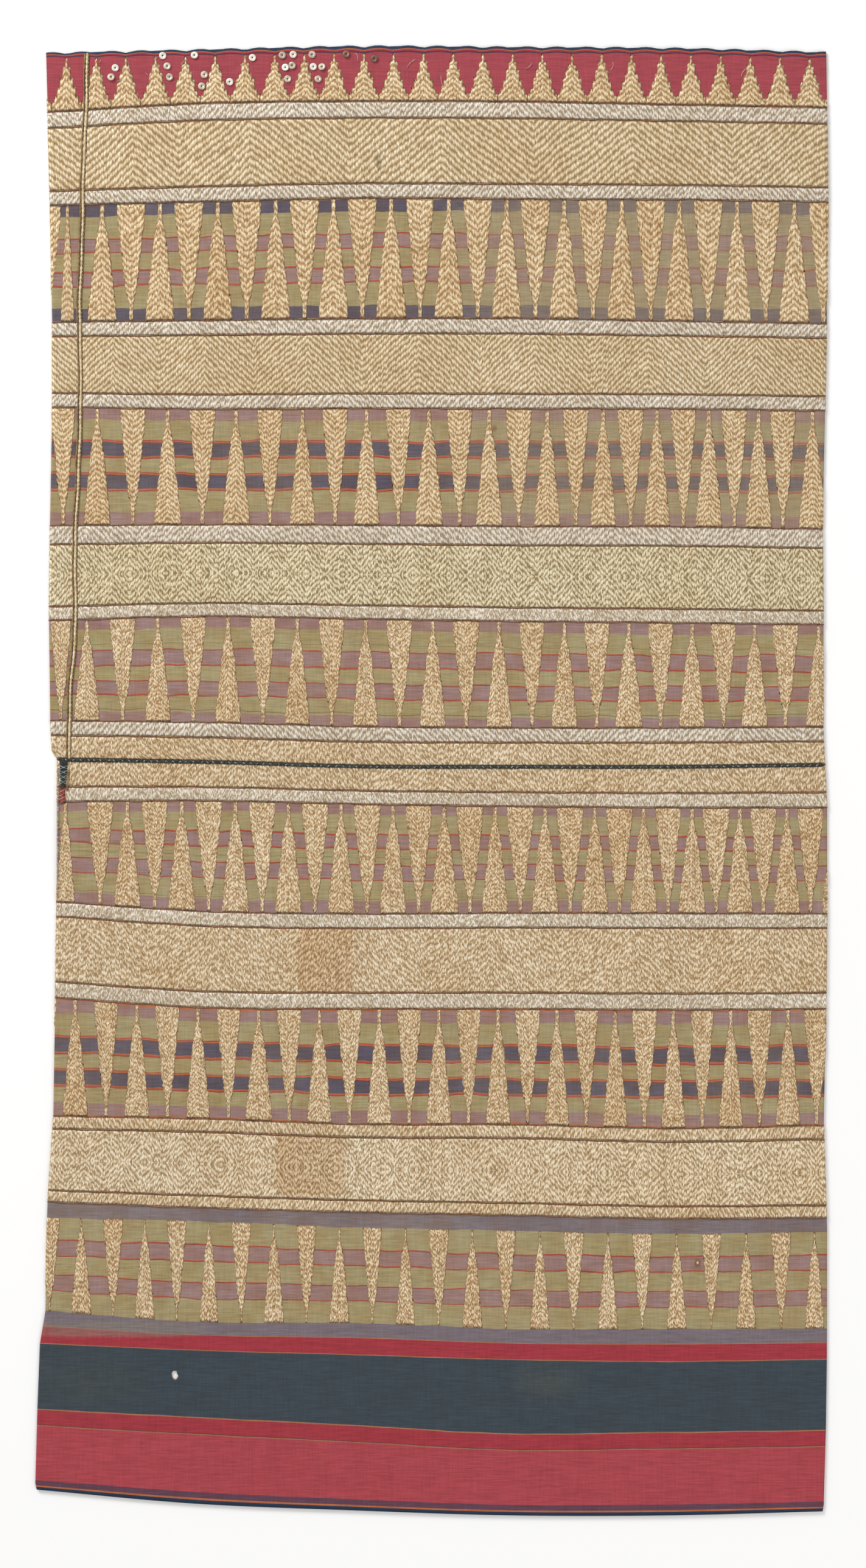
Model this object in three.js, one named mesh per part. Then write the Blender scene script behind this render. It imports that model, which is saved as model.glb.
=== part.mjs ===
// A tapis, the ceremonial tube skirt of Lampung in southern Sumatra, laid flat on a table.
// Two loom widths of striped cloth are each closed to a tube and sewn to each other across the middle.
// Bands and rows of triangles in couched metal thread stand above the ground cloth on the front.
// Millimetres. X runs across the skirt, Y up from hem to waist, Z up from the table it lies on.
import * as THREE from "three";

// The cloth and its layers.
const WALL = 1.1; // one layer of cloth
const SLIT = 0.5; // air between front and back where the skirt lies flattest
const FOLD_REACH = 1.8; // how far each side fold rounds in before the cloth lies flat
const COUCHED_RISE = 0.7; // how far couched thread stands above the ground cloth
const SHOULDER = 0.7; // width of the slope at the edge of a triangle
const BAND_SLOPE = 0.6; // length of the slope at the edge of a band
const SELVEDGE = 1.2; // how far from a side fold the couching stops
const JOIN_GAP = 0.3; // between pieces that are sewn together

// The pair of cords that covers the upper panel's seam.
const CORD_PAIR_WIDTH = 4.0;
const CORD_HEIGHT = 0.9;
const CORD_VALLEY = 0.45;
const PLINTH_WIDTH = 4.8; // couched ground under the cords
const SEAM_MIDDLE_X = -292; // triangles are on the seam's left or right by this

// How finely the plain stretches are divided.
const FRONT_STEPS = 26;
const BACK_STEPS = 10;
const INNER_STEPS = 20;
const LEAST_STEP = 0.15; // the least distance between neighbours on a line

// Level lines across the skirt, from waist to hem. Each gives the two side folds and the height of
// the line at six equal steps from the left fold to the right, since the cloth doesn't lie square.
const SECTION_ROWS = [
  // name, left, right, y at 0, 0.2, 0.4, 0.6, 0.8 and 1 of the width
  ["waist_edge", -320.8, 327.9, 605.1, 607.9, 610.8, 610.1, 609.2, 605.7],
  ["red_start", -320.6, 328.0, 601.1, 603.1, 605.2, 604.8, 604.1, 600.8],
  ["row_0_end", -319.5, 328.7, 555.2, 562.5, 564.3, 564.0, 561.5, 559.2],
  ["row_1_start", -317.5, 329.7, 477.7, 480.7, 483.7, 482.9, 482.3, 480.6],
  ["row_1_end", -315.7, 328.5, 380.8, 382.3, 383.7, 383.8, 381.7, 379.7],
  ["row_2_start", -315.7, 327.0, 310.1, 308.3, 308.9, 308.5, 308.6, 306.9],
  ["row_2_end", -317.5, 324.9, 211.8, 212.6, 212.1, 211.0, 210.9, 208.9],
  ["row_3_start", -318.3, 325.7, 132.6, 136.1, 134.0, 132.0, 130.8, 129.2],
  ["row_3_end", -317.3, 325.4, 49.8, 48.3, 44.8, 43.7, 43.7, 44.6],
  ["corner", -315.7, 326.4, 24.4, 22.3, 18.6, 18.2, 18.2, 19.7],
  ["join", -311.4, 326.9, 17.6, 15.4, 11.7, 11.4, 11.4, 13.1],
  ["row_4_start", -311.8, 328.7, -17.9, -17.2, -20.0, -21.8, -22.8, -22.8],
  ["row_4_end", -312.0, 328.8, -100.9, -109.0, -110.9, -110.2, -110.5, -110.8],
  ["row_5_start", -313.2, 327.9, -181.0, -189.1, -190.0, -190.1, -190.9, -190.1],
  ["row_5_end", -314.7, 325.9, -278.8, -281.1, -285.7, -285.9, -289.0, -286.5],
  ["grey_start", -319.5, 328.4, -350.6, -355.6, -359.3, -361.8, -364.5, -363.8],
  ["row_6_start", -320.0, 328.7, -363.3, -366.4, -371.5, -374.3, -376.9, -375.1],
  ["row_6_end", -321.3, 328.6, -441.2, -450.2, -451.2, -456.2, -456.2, -455.5],
  ["teal_start", -325.9, 328.5, -468.3, -474.0, -477.7, -481.7, -483.4, -481.4],
  ["teal_end", -328.0, 327.7, -522.4, -529.0, -535.4, -542.7, -541.5, -539.8],
  ["hem_line", -329.7, 325.9, -584.2, -594.1, -600.2, -604.8, -604.7, -602.1],
  ["hem_edge", -328.7, 325.1, -589.5, -601.1, -606.7, -610.9, -611.0, -607.6],
];

// Rows of triangles. In each, one set hangs down from the band above and another stands up between.
// first, middle and last are the x of the hanging triangles' centres, or of the standing ones where
// nothing hangs. base and tip are their widths at the two ends.
const TRIANGLE_ROWS = {
  row_0: { first: -303.6, middle: 5.5, last: 314.2, count: 26, base: 23, tip: 1.4, hangs: false },
  row_1: { first: -249.9, middle: 38.2, last: 325.4, count: 13, base: 24, tip: 2.4, hangs: true },
  row_2: { first: -248.4, middle: 47.9, last: 291.9, count: 12, base: 22.5, tip: 2.4, hangs: true },
  row_3: { first: -257.0, middle: 28.6, last: 294.0, count: 11, base: 23, tip: 2.4, hangs: true },
  row_4: { first: -275.7, middle: 31.6, last: 314.7, count: 15, base: 23, tip: 2.4, hangs: true },
  row_5: { first: -270.7, middle: 30.6, last: 319.8, count: 13, base: 23, tip: 2.4, hangs: true },
  row_6: { first: -265.1, middle: 5.8, last: 290.4, count: 11, base: 17, tip: 1.8, hangs: true },
};

// Left of the upper panel's seam the rows don't match the rest, and each has one triangle of its own.
const LEFT_STRIP = {
  row_1: { x: -302.8, base: 11, tip: 2, hangs: false },
  row_2: { x: -306.5, base: 20, tip: 2, hangs: true },
  row_3: { x: -308.4, base: 17, tip: 2, hangs: true },
};

// Low swells where the two layers lie a little apart.
const SWELLS = [
  { x: -190, y: 430, halfWidth: 120, halfLength: 150, height: 0.8 },
  { x: 60, y: 250, halfWidth: 180, halfLength: 130, height: 1.0 },
  { x: 215, y: 480, halfWidth: 100, halfLength: 110, height: 0.7 },
  { x: -120, y: 60, halfWidth: 150, halfLength: 90, height: 0.8 },
  { x: 190, y: -60, halfWidth: 120, halfLength: 120, height: 0.9 },
  { x: -170, y: -240, halfWidth: 130, halfLength: 110, height: 1.0 },
  { x: 120, y: -330, halfWidth: 150, halfLength: 100, height: 0.8 },
  { x: -60, y: -530, halfWidth: 230, halfLength: 70, height: 0.9 },
];

// The upper panel's seam leans left on its way down.
const SEAM_PATH = [
  { y: 620, x: -285.8 },
  { y: 472.2, x: -290.4 },
  { y: 386.1, x: -292.7 },
  { y: 300, x: -291.6 },
  { y: 219, x: -296.0 },
  { y: 117.7, x: -296.6 },
  { y: 69.1, x: -300.8 },
  { y: 0, x: -302.4 },
];

// The waist edge is drawn down a little over the tip of each triangle.
const SCALLOP_DEPTH = 1.3;

const SECTIONS = {};
for (const [name, left, right, ...heights] of SECTION_ROWS) {
  SECTIONS[name] = { left, right, heights };
}

// A level line between two sections, share 0 at the first and 1 at the second, moved by shift in y.
function lineBetween(nameA, nameB, share, shift = 0) {
  const a = SECTIONS[nameA];
  const b = SECTIONS[nameB];
  const mix = (p, q) => p + (q - p) * share;
  return {
    left: mix(a.left, b.left),
    right: mix(a.right, b.right),
    heights: a.heights.map((h, i) => mix(h, b.heights[i]) + shift),
  };
}

// The height of a level line at x: a smooth curve through its six heights.
function heightAt(line, x) {
  const last = line.heights.length - 1;
  const place = THREE.MathUtils.clamp((x - line.left) / (line.right - line.left), 0, 1) * last;
  const i = Math.min(Math.floor(place), last - 1);
  const t = place - i;
  const h = (k) => line.heights[THREE.MathUtils.clamp(k, 0, last)];
  const slopeIn = (h(i + 1) - h(i - 1)) / (i === 0 ? 1 : 2);
  const slopeOut = (h(i + 2) - h(i)) / (i === last - 1 ? 1 : 2);
  const t2 = t * t;
  const t3 = t2 * t;
  return (
    (2 * t3 - 3 * t2 + 1) * h(i) +
    (t3 - 2 * t2 + t) * slopeIn +
    (3 * t2 - 2 * t3) * h(i + 1) +
    (t3 - t2) * slopeOut
  );
}

// The front layer's plain outer height over the table.
function frontHeight(x, y) {
  let z = 2 * WALL + SLIT;
  for (const swell of SWELLS) {
    const reach = Math.hypot((x - swell.x) / swell.halfWidth, (y - swell.y) / swell.halfLength);
    if (reach < 1) {
      z += swell.height * Math.cos((reach * Math.PI) / 2) ** 2;
    }
  }
  return z;
}

function seamAt(y) {
  const i = SEAM_PATH.findIndex((p, k) => k > 0 && y >= p.y);
  const [a, b] = [SEAM_PATH[i - 1], SEAM_PATH[i]];
  return THREE.MathUtils.lerp(a.x, b.x, (a.y - y) / (a.y - b.y));
}

// One closed loop of points round the skirt at a level line. Each point carries its way round:
// 0 to 1 over the front, 1 to 2 round the right fold, 2 to 3 under the back, 3 to 4 the left fold.
// front is a list of { x, rise } over the front, inset is 0 outside and WALL inside.
function makeLoop(line, front, inset, foldAngles) {
  const xLeft = line.left + FOLD_REACH;
  const xRight = line.right - FOLD_REACH;
  const span = xRight - xLeft;
  const loop = [];
  const topAt = (x) => frontHeight(x, heightAt(line, x)) - inset;
  const add = (x, y, z, way) => loop.push({ position: new THREE.Vector3(x, y, z), way });
  const addFold = (centreX, side, way) => {
    const top = topAt(centreX);
    const y = heightAt(line, side > 0 ? line.right : line.left);
    const middle = (top + inset) / 2;
    foldAngles.forEach((angle, k) => {
      const x = centreX + side * (FOLD_REACH - inset) * Math.cos(angle);
      const z = middle + side * ((top - inset) / 2) * Math.sin(angle);
      add(x, y, z, way + (k + 1) / (foldAngles.length + 1));
    });
  };
  for (const point of front) {
    const y = heightAt(line, point.x) - (point.dip ?? 0);
    add(point.x, y, topAt(point.x) + point.rise, (point.x - xLeft) / span);
  }
  addFold(xRight, 1, 1);
  for (let k = 0; k <= BACK_STEPS; k++) {
    const x = xRight - (span * k) / BACK_STEPS;
    add(x, heightAt(line, x), inset, 2 + k / BACK_STEPS);
  }
  addFold(xLeft, -1, 3);
  return loop;
}

const OUTER_FOLD = [Math.PI / 4, 0, -Math.PI / 4];
const INNER_FOLD = [0];

// Evenly spaced front points, all at one rise, with the seam's own points among them.
function plainFront(line, rise, steps, seam) {
  const xLeft = line.left + FOLD_REACH;
  const xRight = line.right - FOLD_REACH;
  const seamX = seam ? seamAt(heightAt(line, SEAM_MIDDLE_X)) : null;
  const points = [
    { x: xLeft, rise: 0 },
    { x: xLeft + SELVEDGE, rise },
    { x: xRight - SELVEDGE, rise },
    { x: xRight, rise: 0 },
  ];
  for (let k = 1; k < steps; k++) {
    const x = xLeft + ((xRight - xLeft) * k) / steps;
    if (seam && Math.abs(x - seamX) < PLINTH_WIDTH) continue;
    points.push({ x, rise });
  }
  if (seam) {
    points.push({ x: seamX - PLINTH_WIDTH / 2, rise: COUCHED_RISE });
    points.push({ x: seamX + PLINTH_WIDTH / 2, rise: COUCHED_RISE });
  }
  return points.sort((a, b) => a.x - b.x);
}

// The waist edge: plain, with a dip over the tip of every triangle of the top row.
function scallopedFront(line) {
  const row = TRIANGLE_ROWS.row_0;
  const pitch = (row.last - row.first) / (row.count - 1);
  const xLeft = line.left + FOLD_REACH;
  const xRight = line.right - FOLD_REACH;
  const points = [{ x: xLeft, rise: 0 }];
  for (let x = row.first; x < xRight - 1; x += pitch / 4) {
    const turn = ((x - row.first) / pitch) * 2 * Math.PI;
    points.push({ x, rise: 0, dip: (SCALLOP_DEPTH * (1 + Math.cos(turn))) / 2 });
  }
  points.push({ x: xRight, rise: 0 });
  return points;
}

// Centre of triangle i in a row, through its first, middle and last places.
function centreOf(row, i) {
  const t = (2 * i) / (row.count - 1) - 1;
  const bend = (row.first + row.last) / 2 - row.middle;
  return row.middle + (t * (row.last - row.first)) / 2 + bend * t * t;
}

// The triangles of a row, each with its width at a share of the row's height.
function trianglesOf(rowName, share, seam) {
  const row = TRIANGLE_ROWS[rowName];
  const widthOf = (t, hangs) => t.base + (t.tip - t.base) * (hangs ? share : 1 - share);
  const list = [];
  for (let i = -1; i <= row.count; i++) {
    list.push({ x: centreOf(row, i), width: widthOf(row, row.hangs) });
    if (row.hangs) {
      list.push({ x: (centreOf(row, i) + centreOf(row, i + 1)) / 2, width: widthOf(row, false) });
    }
  }
  const strip = LEFT_STRIP[rowName];
  if (!seam || !strip) return list;
  const rightOfSeam = list.filter((t) => t.x > SEAM_MIDDLE_X);
  return [{ x: strip.x, width: widthOf(strip, strip.hangs) }, ...rightOfSeam];
}

// Front points of a level line through a row of triangles: a foot and a shoulder on each side of
// each. With a level, all points stand at that one rise, as where the row meets a band.
function triangleFront(line, rowName, share, seam, level) {
  const xLeft = line.left + FOLD_REACH;
  const xRight = line.right - FOLD_REACH;
  const shapes = trianglesOf(rowName, share, seam).map((t) => ({ ...t, order: t.x }));
  const kept = shapes.filter((t) => t.x > xLeft + 0.5 && t.x < xRight - 0.5);
  if (seam) {
    const width = PLINTH_WIDTH + 2 * SHOULDER;
    kept.push({ x: seamAt(heightAt(line, SEAM_MIDDLE_X)), width, order: SEAM_MIDDLE_X });
  }
  kept.sort((a, b) => a.order - b.order);
  const points = [
    { x: xLeft, rise: 0, held: true },
    { x: xLeft + SELVEDGE, rise: level ?? 0, held: true },
  ];
  for (const t of kept) {
    const half = t.width / 2;
    const crest = Math.max(half - SHOULDER, half * 0.45);
    const held = t.order === SEAM_MIDDLE_X;
    points.push({ x: t.x - half, rise: level ?? 0, held });
    points.push({ x: t.x - crest, rise: level ?? COUCHED_RISE, held });
    points.push({ x: t.x + crest, rise: level ?? COUCHED_RISE, held });
    points.push({ x: t.x + half, rise: level ?? 0, held });
  }
  points.push({ x: xRight - SELVEDGE, rise: level ?? 0, held: true });
  points.push({ x: xRight, rise: 0, held: true });
  return keepApart(points);
}

// Moves points that would pass their neighbours. Held ones, at the folds and the seam, stay.
function keepApart(points) {
  for (let i = 1; i < points.length; i++) {
    if (!points[i].held) points[i].x = Math.max(points[i].x, points[i - 1].x + LEAST_STEP);
  }
  for (let i = points.length - 2; i > 0; i--) {
    if (!points[i].held) points[i].x = Math.min(points[i].x, points[i + 1].x - LEAST_STEP);
  }
  return points;
}

// Triangles between two loops. Loops with as many points are joined point to point; others by
// whichever point comes next on the way round.
function zipLoops(triangles, a, b) {
  const sameCount = a.length === b.length;
  let i = 0;
  let j = 0;
  const at = (loop, k) => loop[k % loop.length].position;
  const way = (loop, k) => (k < loop.length ? loop[k].way : 4);
  while (i < a.length || j < b.length) {
    let stepA = j >= b.length;
    if (!stepA && i < a.length) {
      stepA = sameCount ? i <= j : way(a, i + 1) <= way(b, j + 1);
    }
    if (stepA) {
      triangles.push([at(a, i), at(a, i + 1), at(b, j)]);
      i++;
    } else {
      triangles.push([at(a, i), at(b, j + 1), at(b, j)]);
      j++;
    }
  }
}

// A tube of cloth from its outer and inner loops, each listed from waist to hem.
function makeTube(name, outer, inner) {
  const triangles = [];
  for (let k = 1; k < outer.length; k++) {
    zipLoops(triangles, outer[k - 1], outer[k]);
  }
  zipLoops(triangles, outer.at(-1), inner.at(-1));
  for (let k = inner.length - 1; k > 0; k--) {
    zipLoops(triangles, inner[k], inner[k - 1]);
  }
  zipLoops(triangles, inner[0], outer[0]);
  return meshFrom(name, triangles);
}

function meshFrom(name, triangles) {
  const numbers = triangles.flatMap(([p, q, r]) => [...r.toArray(), ...q.toArray(), ...p.toArray()]);
  const geometry = new THREE.BufferGeometry();
  geometry.setAttribute("position", new THREE.Float32BufferAttribute(numbers, 3));
  geometry.computeVertexNormals();
  const mesh = new THREE.Mesh(geometry, MATERIALS[name]);
  mesh.name = name;
  return mesh;
}

const MATERIALS = {
  upper_panel: new THREE.MeshStandardMaterial({ color: 0xb59a68, roughness: 0.8 }),
  lower_panel: new THREE.MeshStandardMaterial({ color: 0x9c5a50, roughness: 0.85 }),
  seam_cords: new THREE.MeshStandardMaterial({ color: 0xc9a568, roughness: 0.5 }),
};

// Loops of one panel, course by course. A band is raised all over, a row only at its triangles.
// A row also makes the two lines where it meets its neighbours, at the rise that those have.
function panelLoops(courses, seam) {
  const outer = [];
  const add = (line, front) => outer.push(makeLoop(line, front, 0, OUTER_FOLD));
  for (const course of courses) {
    const { kind, from, to } = course;
    if (kind === "row") {
      const { above, below } = course;
      const first = lineBetween(from, to, 0);
      const last = lineBetween(from, to, 1);
      add(first, triangleFront(first, course.row, 0, seam, above));
      for (const [share, shift] of [[0, -BAND_SLOPE], [0.5, 0], [1, BAND_SLOPE]]) {
        const line = lineBetween(from, to, share, shift);
        add(line, triangleFront(line, course.row, share, seam));
      }
      add(last, triangleFront(last, course.row, 1, seam, below));
      continue;
    }
    for (const share of course.shares) {
      const line = lineBetween(from, to, share, course.shift ?? 0);
      if (kind === "edge") add(line, scallopedFront(line));
      if (kind === "band") add(line, plainFront(line, COUCHED_RISE, FRONT_STEPS, seam));
      if (kind === "plain") add(line, plainFront(line, 0, FRONT_STEPS, seam));
    }
  }
  return outer;
}

// The plain inner face of a panel, at a few lines from its first edge to its last.
function innerLoops(names, startShift, endShift) {
  const lines = names.flatMap((name, i) => {
    if (i === 0) return [lineBetween(name, name, 0, startShift)];
    const middle = lineBetween(names[i - 1], name, 0.5);
    return [middle, lineBetween(name, name, 0, i === names.length - 1 ? endShift : 0)];
  });
  return lines.map((line) => makeLoop(line, plainFront(line, 0, INNER_STEPS, false), WALL, INNER_FOLD));
}

const band = (from, to, shares = [0.5], shift = 0) => ({ kind: "band", from, to, shares, shift });
const plain = (from, to, shares = [1]) => ({ kind: "plain", from, to, shares });
const row = (number, from, to, above = COUCHED_RISE, below = COUCHED_RISE) => {
  return { kind: "row", row: `row_${number}`, from, to, above, below };
};

const UPPER_COURSES = [
  { kind: "edge", from: "waist_edge", to: "red_start", shares: [0] },
  row(0, "red_start", "row_0_end", 0),
  band("row_0_end", "row_1_start"),
  row(1, "row_1_start", "row_1_end"),
  band("row_1_end", "row_2_start"),
  row(2, "row_2_start", "row_2_end"),
  band("row_2_end", "row_3_start"),
  row(3, "row_3_start", "row_3_end"),
  band("row_3_end", "corner", [0.5, 1]),
  band("corner", "join", [1], JOIN_GAP / 2),
];

const LOWER_COURSES = [
  band("join", "row_4_start", [0], -JOIN_GAP / 2),
  band("join", "row_4_start"),
  row(4, "row_4_start", "row_4_end"),
  band("row_4_end", "row_5_start"),
  row(5, "row_5_start", "row_5_end"),
  band("row_5_end", "grey_start", [0.5, 1]),
  { ...plain("grey_start", "row_6_start", [0]), shift: -BAND_SLOPE },
  row(6, "row_6_start", "row_6_end", 0, 0),
  plain("row_6_end", "teal_start"),
  plain("teal_start", "teal_end", [0.5, 1]),
  plain("teal_end", "hem_line", [0.5, 1]),
  plain("hem_line", "hem_edge"),
];

const UPPER_INNER = ["waist_edge", "row_1_start", "row_2_start", "row_3_start", "corner", "join"];
const LOWER_INNER = ["join", "row_5_start", "grey_start", "row_6_end", "teal_end", "hem_edge"];

const UPPER_SECTIONS = SECTION_ROWS.map(([name]) => name).slice(0, 11);

// The cord pair follows the upper panel's own level lines, a gap above its plinth.
function makeSeamCords() {
  const profile = [
    [-0.5, 0],
    [-0.5, 0.55],
    [-0.37, 0.92],
    [-0.25, 1],
    [-0.12, 0.9],
    [0, CORD_VALLEY / CORD_HEIGHT],
    [0.12, 0.9],
    [0.25, 1],
    [0.37, 0.92],
    [0.5, 0.55],
    [0.5, 0],
  ];
  const rings = [];
  for (let k = 1; k < UPPER_SECTIONS.length; k++) {
    for (const share of [0, 0.25, 0.5, 0.75, 1]) {
      const line = lineBetween(UPPER_SECTIONS[k - 1], UPPER_SECTIONS[k], share);
      const y = heightAt(line, SEAM_MIDDLE_X) - (rings.length ? 0 : SCALLOP_DEPTH);
      if (rings.length && rings.at(-1)[0].y - y < 1.5) continue;
      const x = seamAt(y);
      const base = frontHeight(x, y) + COUCHED_RISE + JOIN_GAP;
      rings.push(
        profile.map(([across, up]) => {
          return new THREE.Vector3(x + across * CORD_PAIR_WIDTH, y, base + up * CORD_HEIGHT);
        }),
      );
    }
  }
  const triangles = [];
  const count = profile.length;
  for (let k = 1; k < rings.length; k++) {
    for (let i = 0; i < count; i++) {
      const next = (i + 1) % count;
      triangles.push([rings[k - 1][i], rings[k - 1][next], rings[k][i]]);
      triangles.push([rings[k - 1][next], rings[k][next], rings[k][i]]);
    }
  }
  const shape = profile.map(([across, up]) => new THREE.Vector2(across, up));
  for (const [a, b, c] of THREE.ShapeUtils.triangulateShape(shape, [])) {
    triangles.push([rings[0][a], rings[0][b], rings[0][c]]);
    triangles.push([rings.at(-1)[c], rings.at(-1)[b], rings.at(-1)[a]]);
  }
  return meshFrom("seam_cords", triangles);
}

const skirt = new THREE.Group();
const upperInner = innerLoops(UPPER_INNER, -2 * SCALLOP_DEPTH, JOIN_GAP / 2);
const lowerInner = innerLoops(LOWER_INNER, -JOIN_GAP / 2, 0);
skirt.add(makeTube("upper_panel", panelLoops(UPPER_COURSES, true), upperInner));
skirt.add(makeTube("lower_panel", panelLoops(LOWER_COURSES, false), lowerInner));
skirt.add(makeSeamCords());

// The origin is under the middle of the skirt's bounding box, on the table.
const bounds = new THREE.Box3().setFromObject(skirt);
const middle = bounds.getCenter(new THREE.Vector3());
for (const mesh of skirt.children) {
  mesh.geometry.translate(-middle.x, -middle.y, -bounds.min.z);
}

export default skirt;
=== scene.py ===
# %% [markdown]
# # A tapis: couched gold on a striped tube skirt
# A tapis is the ceremonial skirt of Lampung in southern Sumatra. Two loom widths of striped cotton
# and silk are each closed to a tube and sewn one above the other. Metal thread, laid in columns side
# by side and held down by small stitches, covers it in bands and rows of tall triangles.
# Here the skirt lies flat on a table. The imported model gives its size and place, and everything
# below is built onto that frame: first the lie of the cloth, then the cloth, then what is sewn on it.

# %% Load the frame
import math

import bmesh
import bpy
import numpy as np
from mathutils import Matrix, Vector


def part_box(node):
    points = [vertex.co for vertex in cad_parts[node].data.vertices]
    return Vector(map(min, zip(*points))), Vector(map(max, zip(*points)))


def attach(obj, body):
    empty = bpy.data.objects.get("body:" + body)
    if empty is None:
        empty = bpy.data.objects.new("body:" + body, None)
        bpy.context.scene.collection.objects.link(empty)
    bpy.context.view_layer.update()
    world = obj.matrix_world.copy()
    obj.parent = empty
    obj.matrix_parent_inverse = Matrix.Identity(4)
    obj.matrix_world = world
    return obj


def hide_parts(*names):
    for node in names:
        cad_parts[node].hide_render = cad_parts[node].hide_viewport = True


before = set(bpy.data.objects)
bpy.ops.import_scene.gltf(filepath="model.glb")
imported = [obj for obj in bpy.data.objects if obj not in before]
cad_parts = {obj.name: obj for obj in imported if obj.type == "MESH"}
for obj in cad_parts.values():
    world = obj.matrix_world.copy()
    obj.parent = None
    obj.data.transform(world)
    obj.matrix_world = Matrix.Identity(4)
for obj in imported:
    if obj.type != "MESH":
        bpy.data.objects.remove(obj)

MM = 0.001
SAME_PLACE = 1e-7
chance = np.random.default_rng(11)
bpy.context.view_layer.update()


def mesh_from(bm, name):
    """A mesh made of a bmesh, which is freed."""
    mesh = bpy.data.meshes.new(name)
    bm.to_mesh(mesh)
    bm.free()
    return mesh


def evaluated_mesh(made):
    """A plain mesh of an object, as its modifiers or its bevel leave it."""
    graph = bpy.context.evaluated_depsgraph_get()
    return bpy.data.meshes.new_from_object(made.evaluated_get(graph))


def merge_doubles(mesh, outward=False):
    """Joins vertices in the same place, and turns the faces outwards where asked."""
    bm = bmesh.new()
    bm.from_mesh(mesh)
    bmesh.ops.remove_doubles(bm, verts=bm.verts, dist=SAME_PLACE)
    if outward:
        bmesh.ops.recalc_face_normals(bm, faces=bm.faces)
    bm.to_mesh(mesh)
    bm.free()


def vertex_places(mesh):
    """The places of a mesh's vertices, one row for each."""
    places = np.empty(len(mesh.vertices) * 3)
    mesh.vertices.foreach_get("co", places)
    return places.reshape(-1, 3)


# %% [markdown]
# ## Camera, table and light
# The skirt is looked at from straight above. A long lens from 2.6 m up keeps it free of perspective.
# Couched thread shows by its small shadows, so one wide lamp comes in low from the upper left, and
# a pale surround fills the shadows without hiding them.

# %% Camera
VIEW_LENGTH = 1304.5 * MM
VIEW_MIDDLE = (1.0 * MM, -2.8 * MM)
CAMERA_HEIGHT = 2.6

scene = bpy.context.scene
camera = bpy.data.objects.new("camera", bpy.data.cameras.new("camera"))
camera.location = (*VIEW_MIDDLE, CAMERA_HEIGHT)
camera.data.sensor_width = 36
camera.data.lens = camera.data.sensor_width * CAMERA_HEIGHT / VIEW_LENGTH
scene.collection.objects.link(camera)
scene.camera = camera
scene.view_settings.view_transform = "Standard"
print("lens:", round(camera.data.lens, 1), "mm")


# %% Table and lamps
def lamp(name, place, size, watts):
    """A soft square lamp that faces the middle of the table."""
    data = bpy.data.lights.new(name, "AREA")
    data.size = size
    data.energy = watts
    made = bpy.data.objects.new(name, data)
    made.location = place
    made.rotation_euler = made.location.to_track_quat("Z", "Y").to_euler()
    scene.collection.objects.link(made)


lamp("key", (-2.3, 2.9, 2.3), 1.5, 126)
lamp("fill", (1.8, -1.6, 2.4), 2.0, 22)
scene.world = bpy.data.worlds.new("surround")
scene.world.use_nodes = True
surround = scene.world.node_tree.nodes["Background"]
surround.inputs["Color"].default_value = (1.0, 0.99, 0.98, 1)
surround.inputs["Strength"].default_value = 0.58

TABLE_REACH = 6
bm = bmesh.new()
bmesh.ops.create_grid(bm, x_segments=1, y_segments=1, size=TABLE_REACH)
table = bpy.data.objects.new("table", mesh_from(bm, "table"))
white = bpy.data.materials.new("white_table")
white.use_nodes = True
shader = white.node_tree.nodes["Principled BSDF"]
shader.inputs["Base Color"].default_value = (0.98, 0.98, 0.98, 1)
shader.inputs["Roughness"].default_value = 0.9
table.data.materials.append(white)
scene.collection.objects.link(table)

# %% [markdown]
# ## The lie of the cloth
# Every piece has to know where the skirt runs. Level lines across it, from waist to hem, give its
# two side folds and its height at six equal steps, since the cloth doesn't lie square. A point on
# the skirt is then three numbers. `around` runs from 0 at the left fold over the front to 1 at the
# right fold, and on under the back to 2. `down` counts the level lines. `lift` is the distance above
# the cloth. Pieces are made flat in these numbers, as on an embroidery frame, and laid on together.

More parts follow.
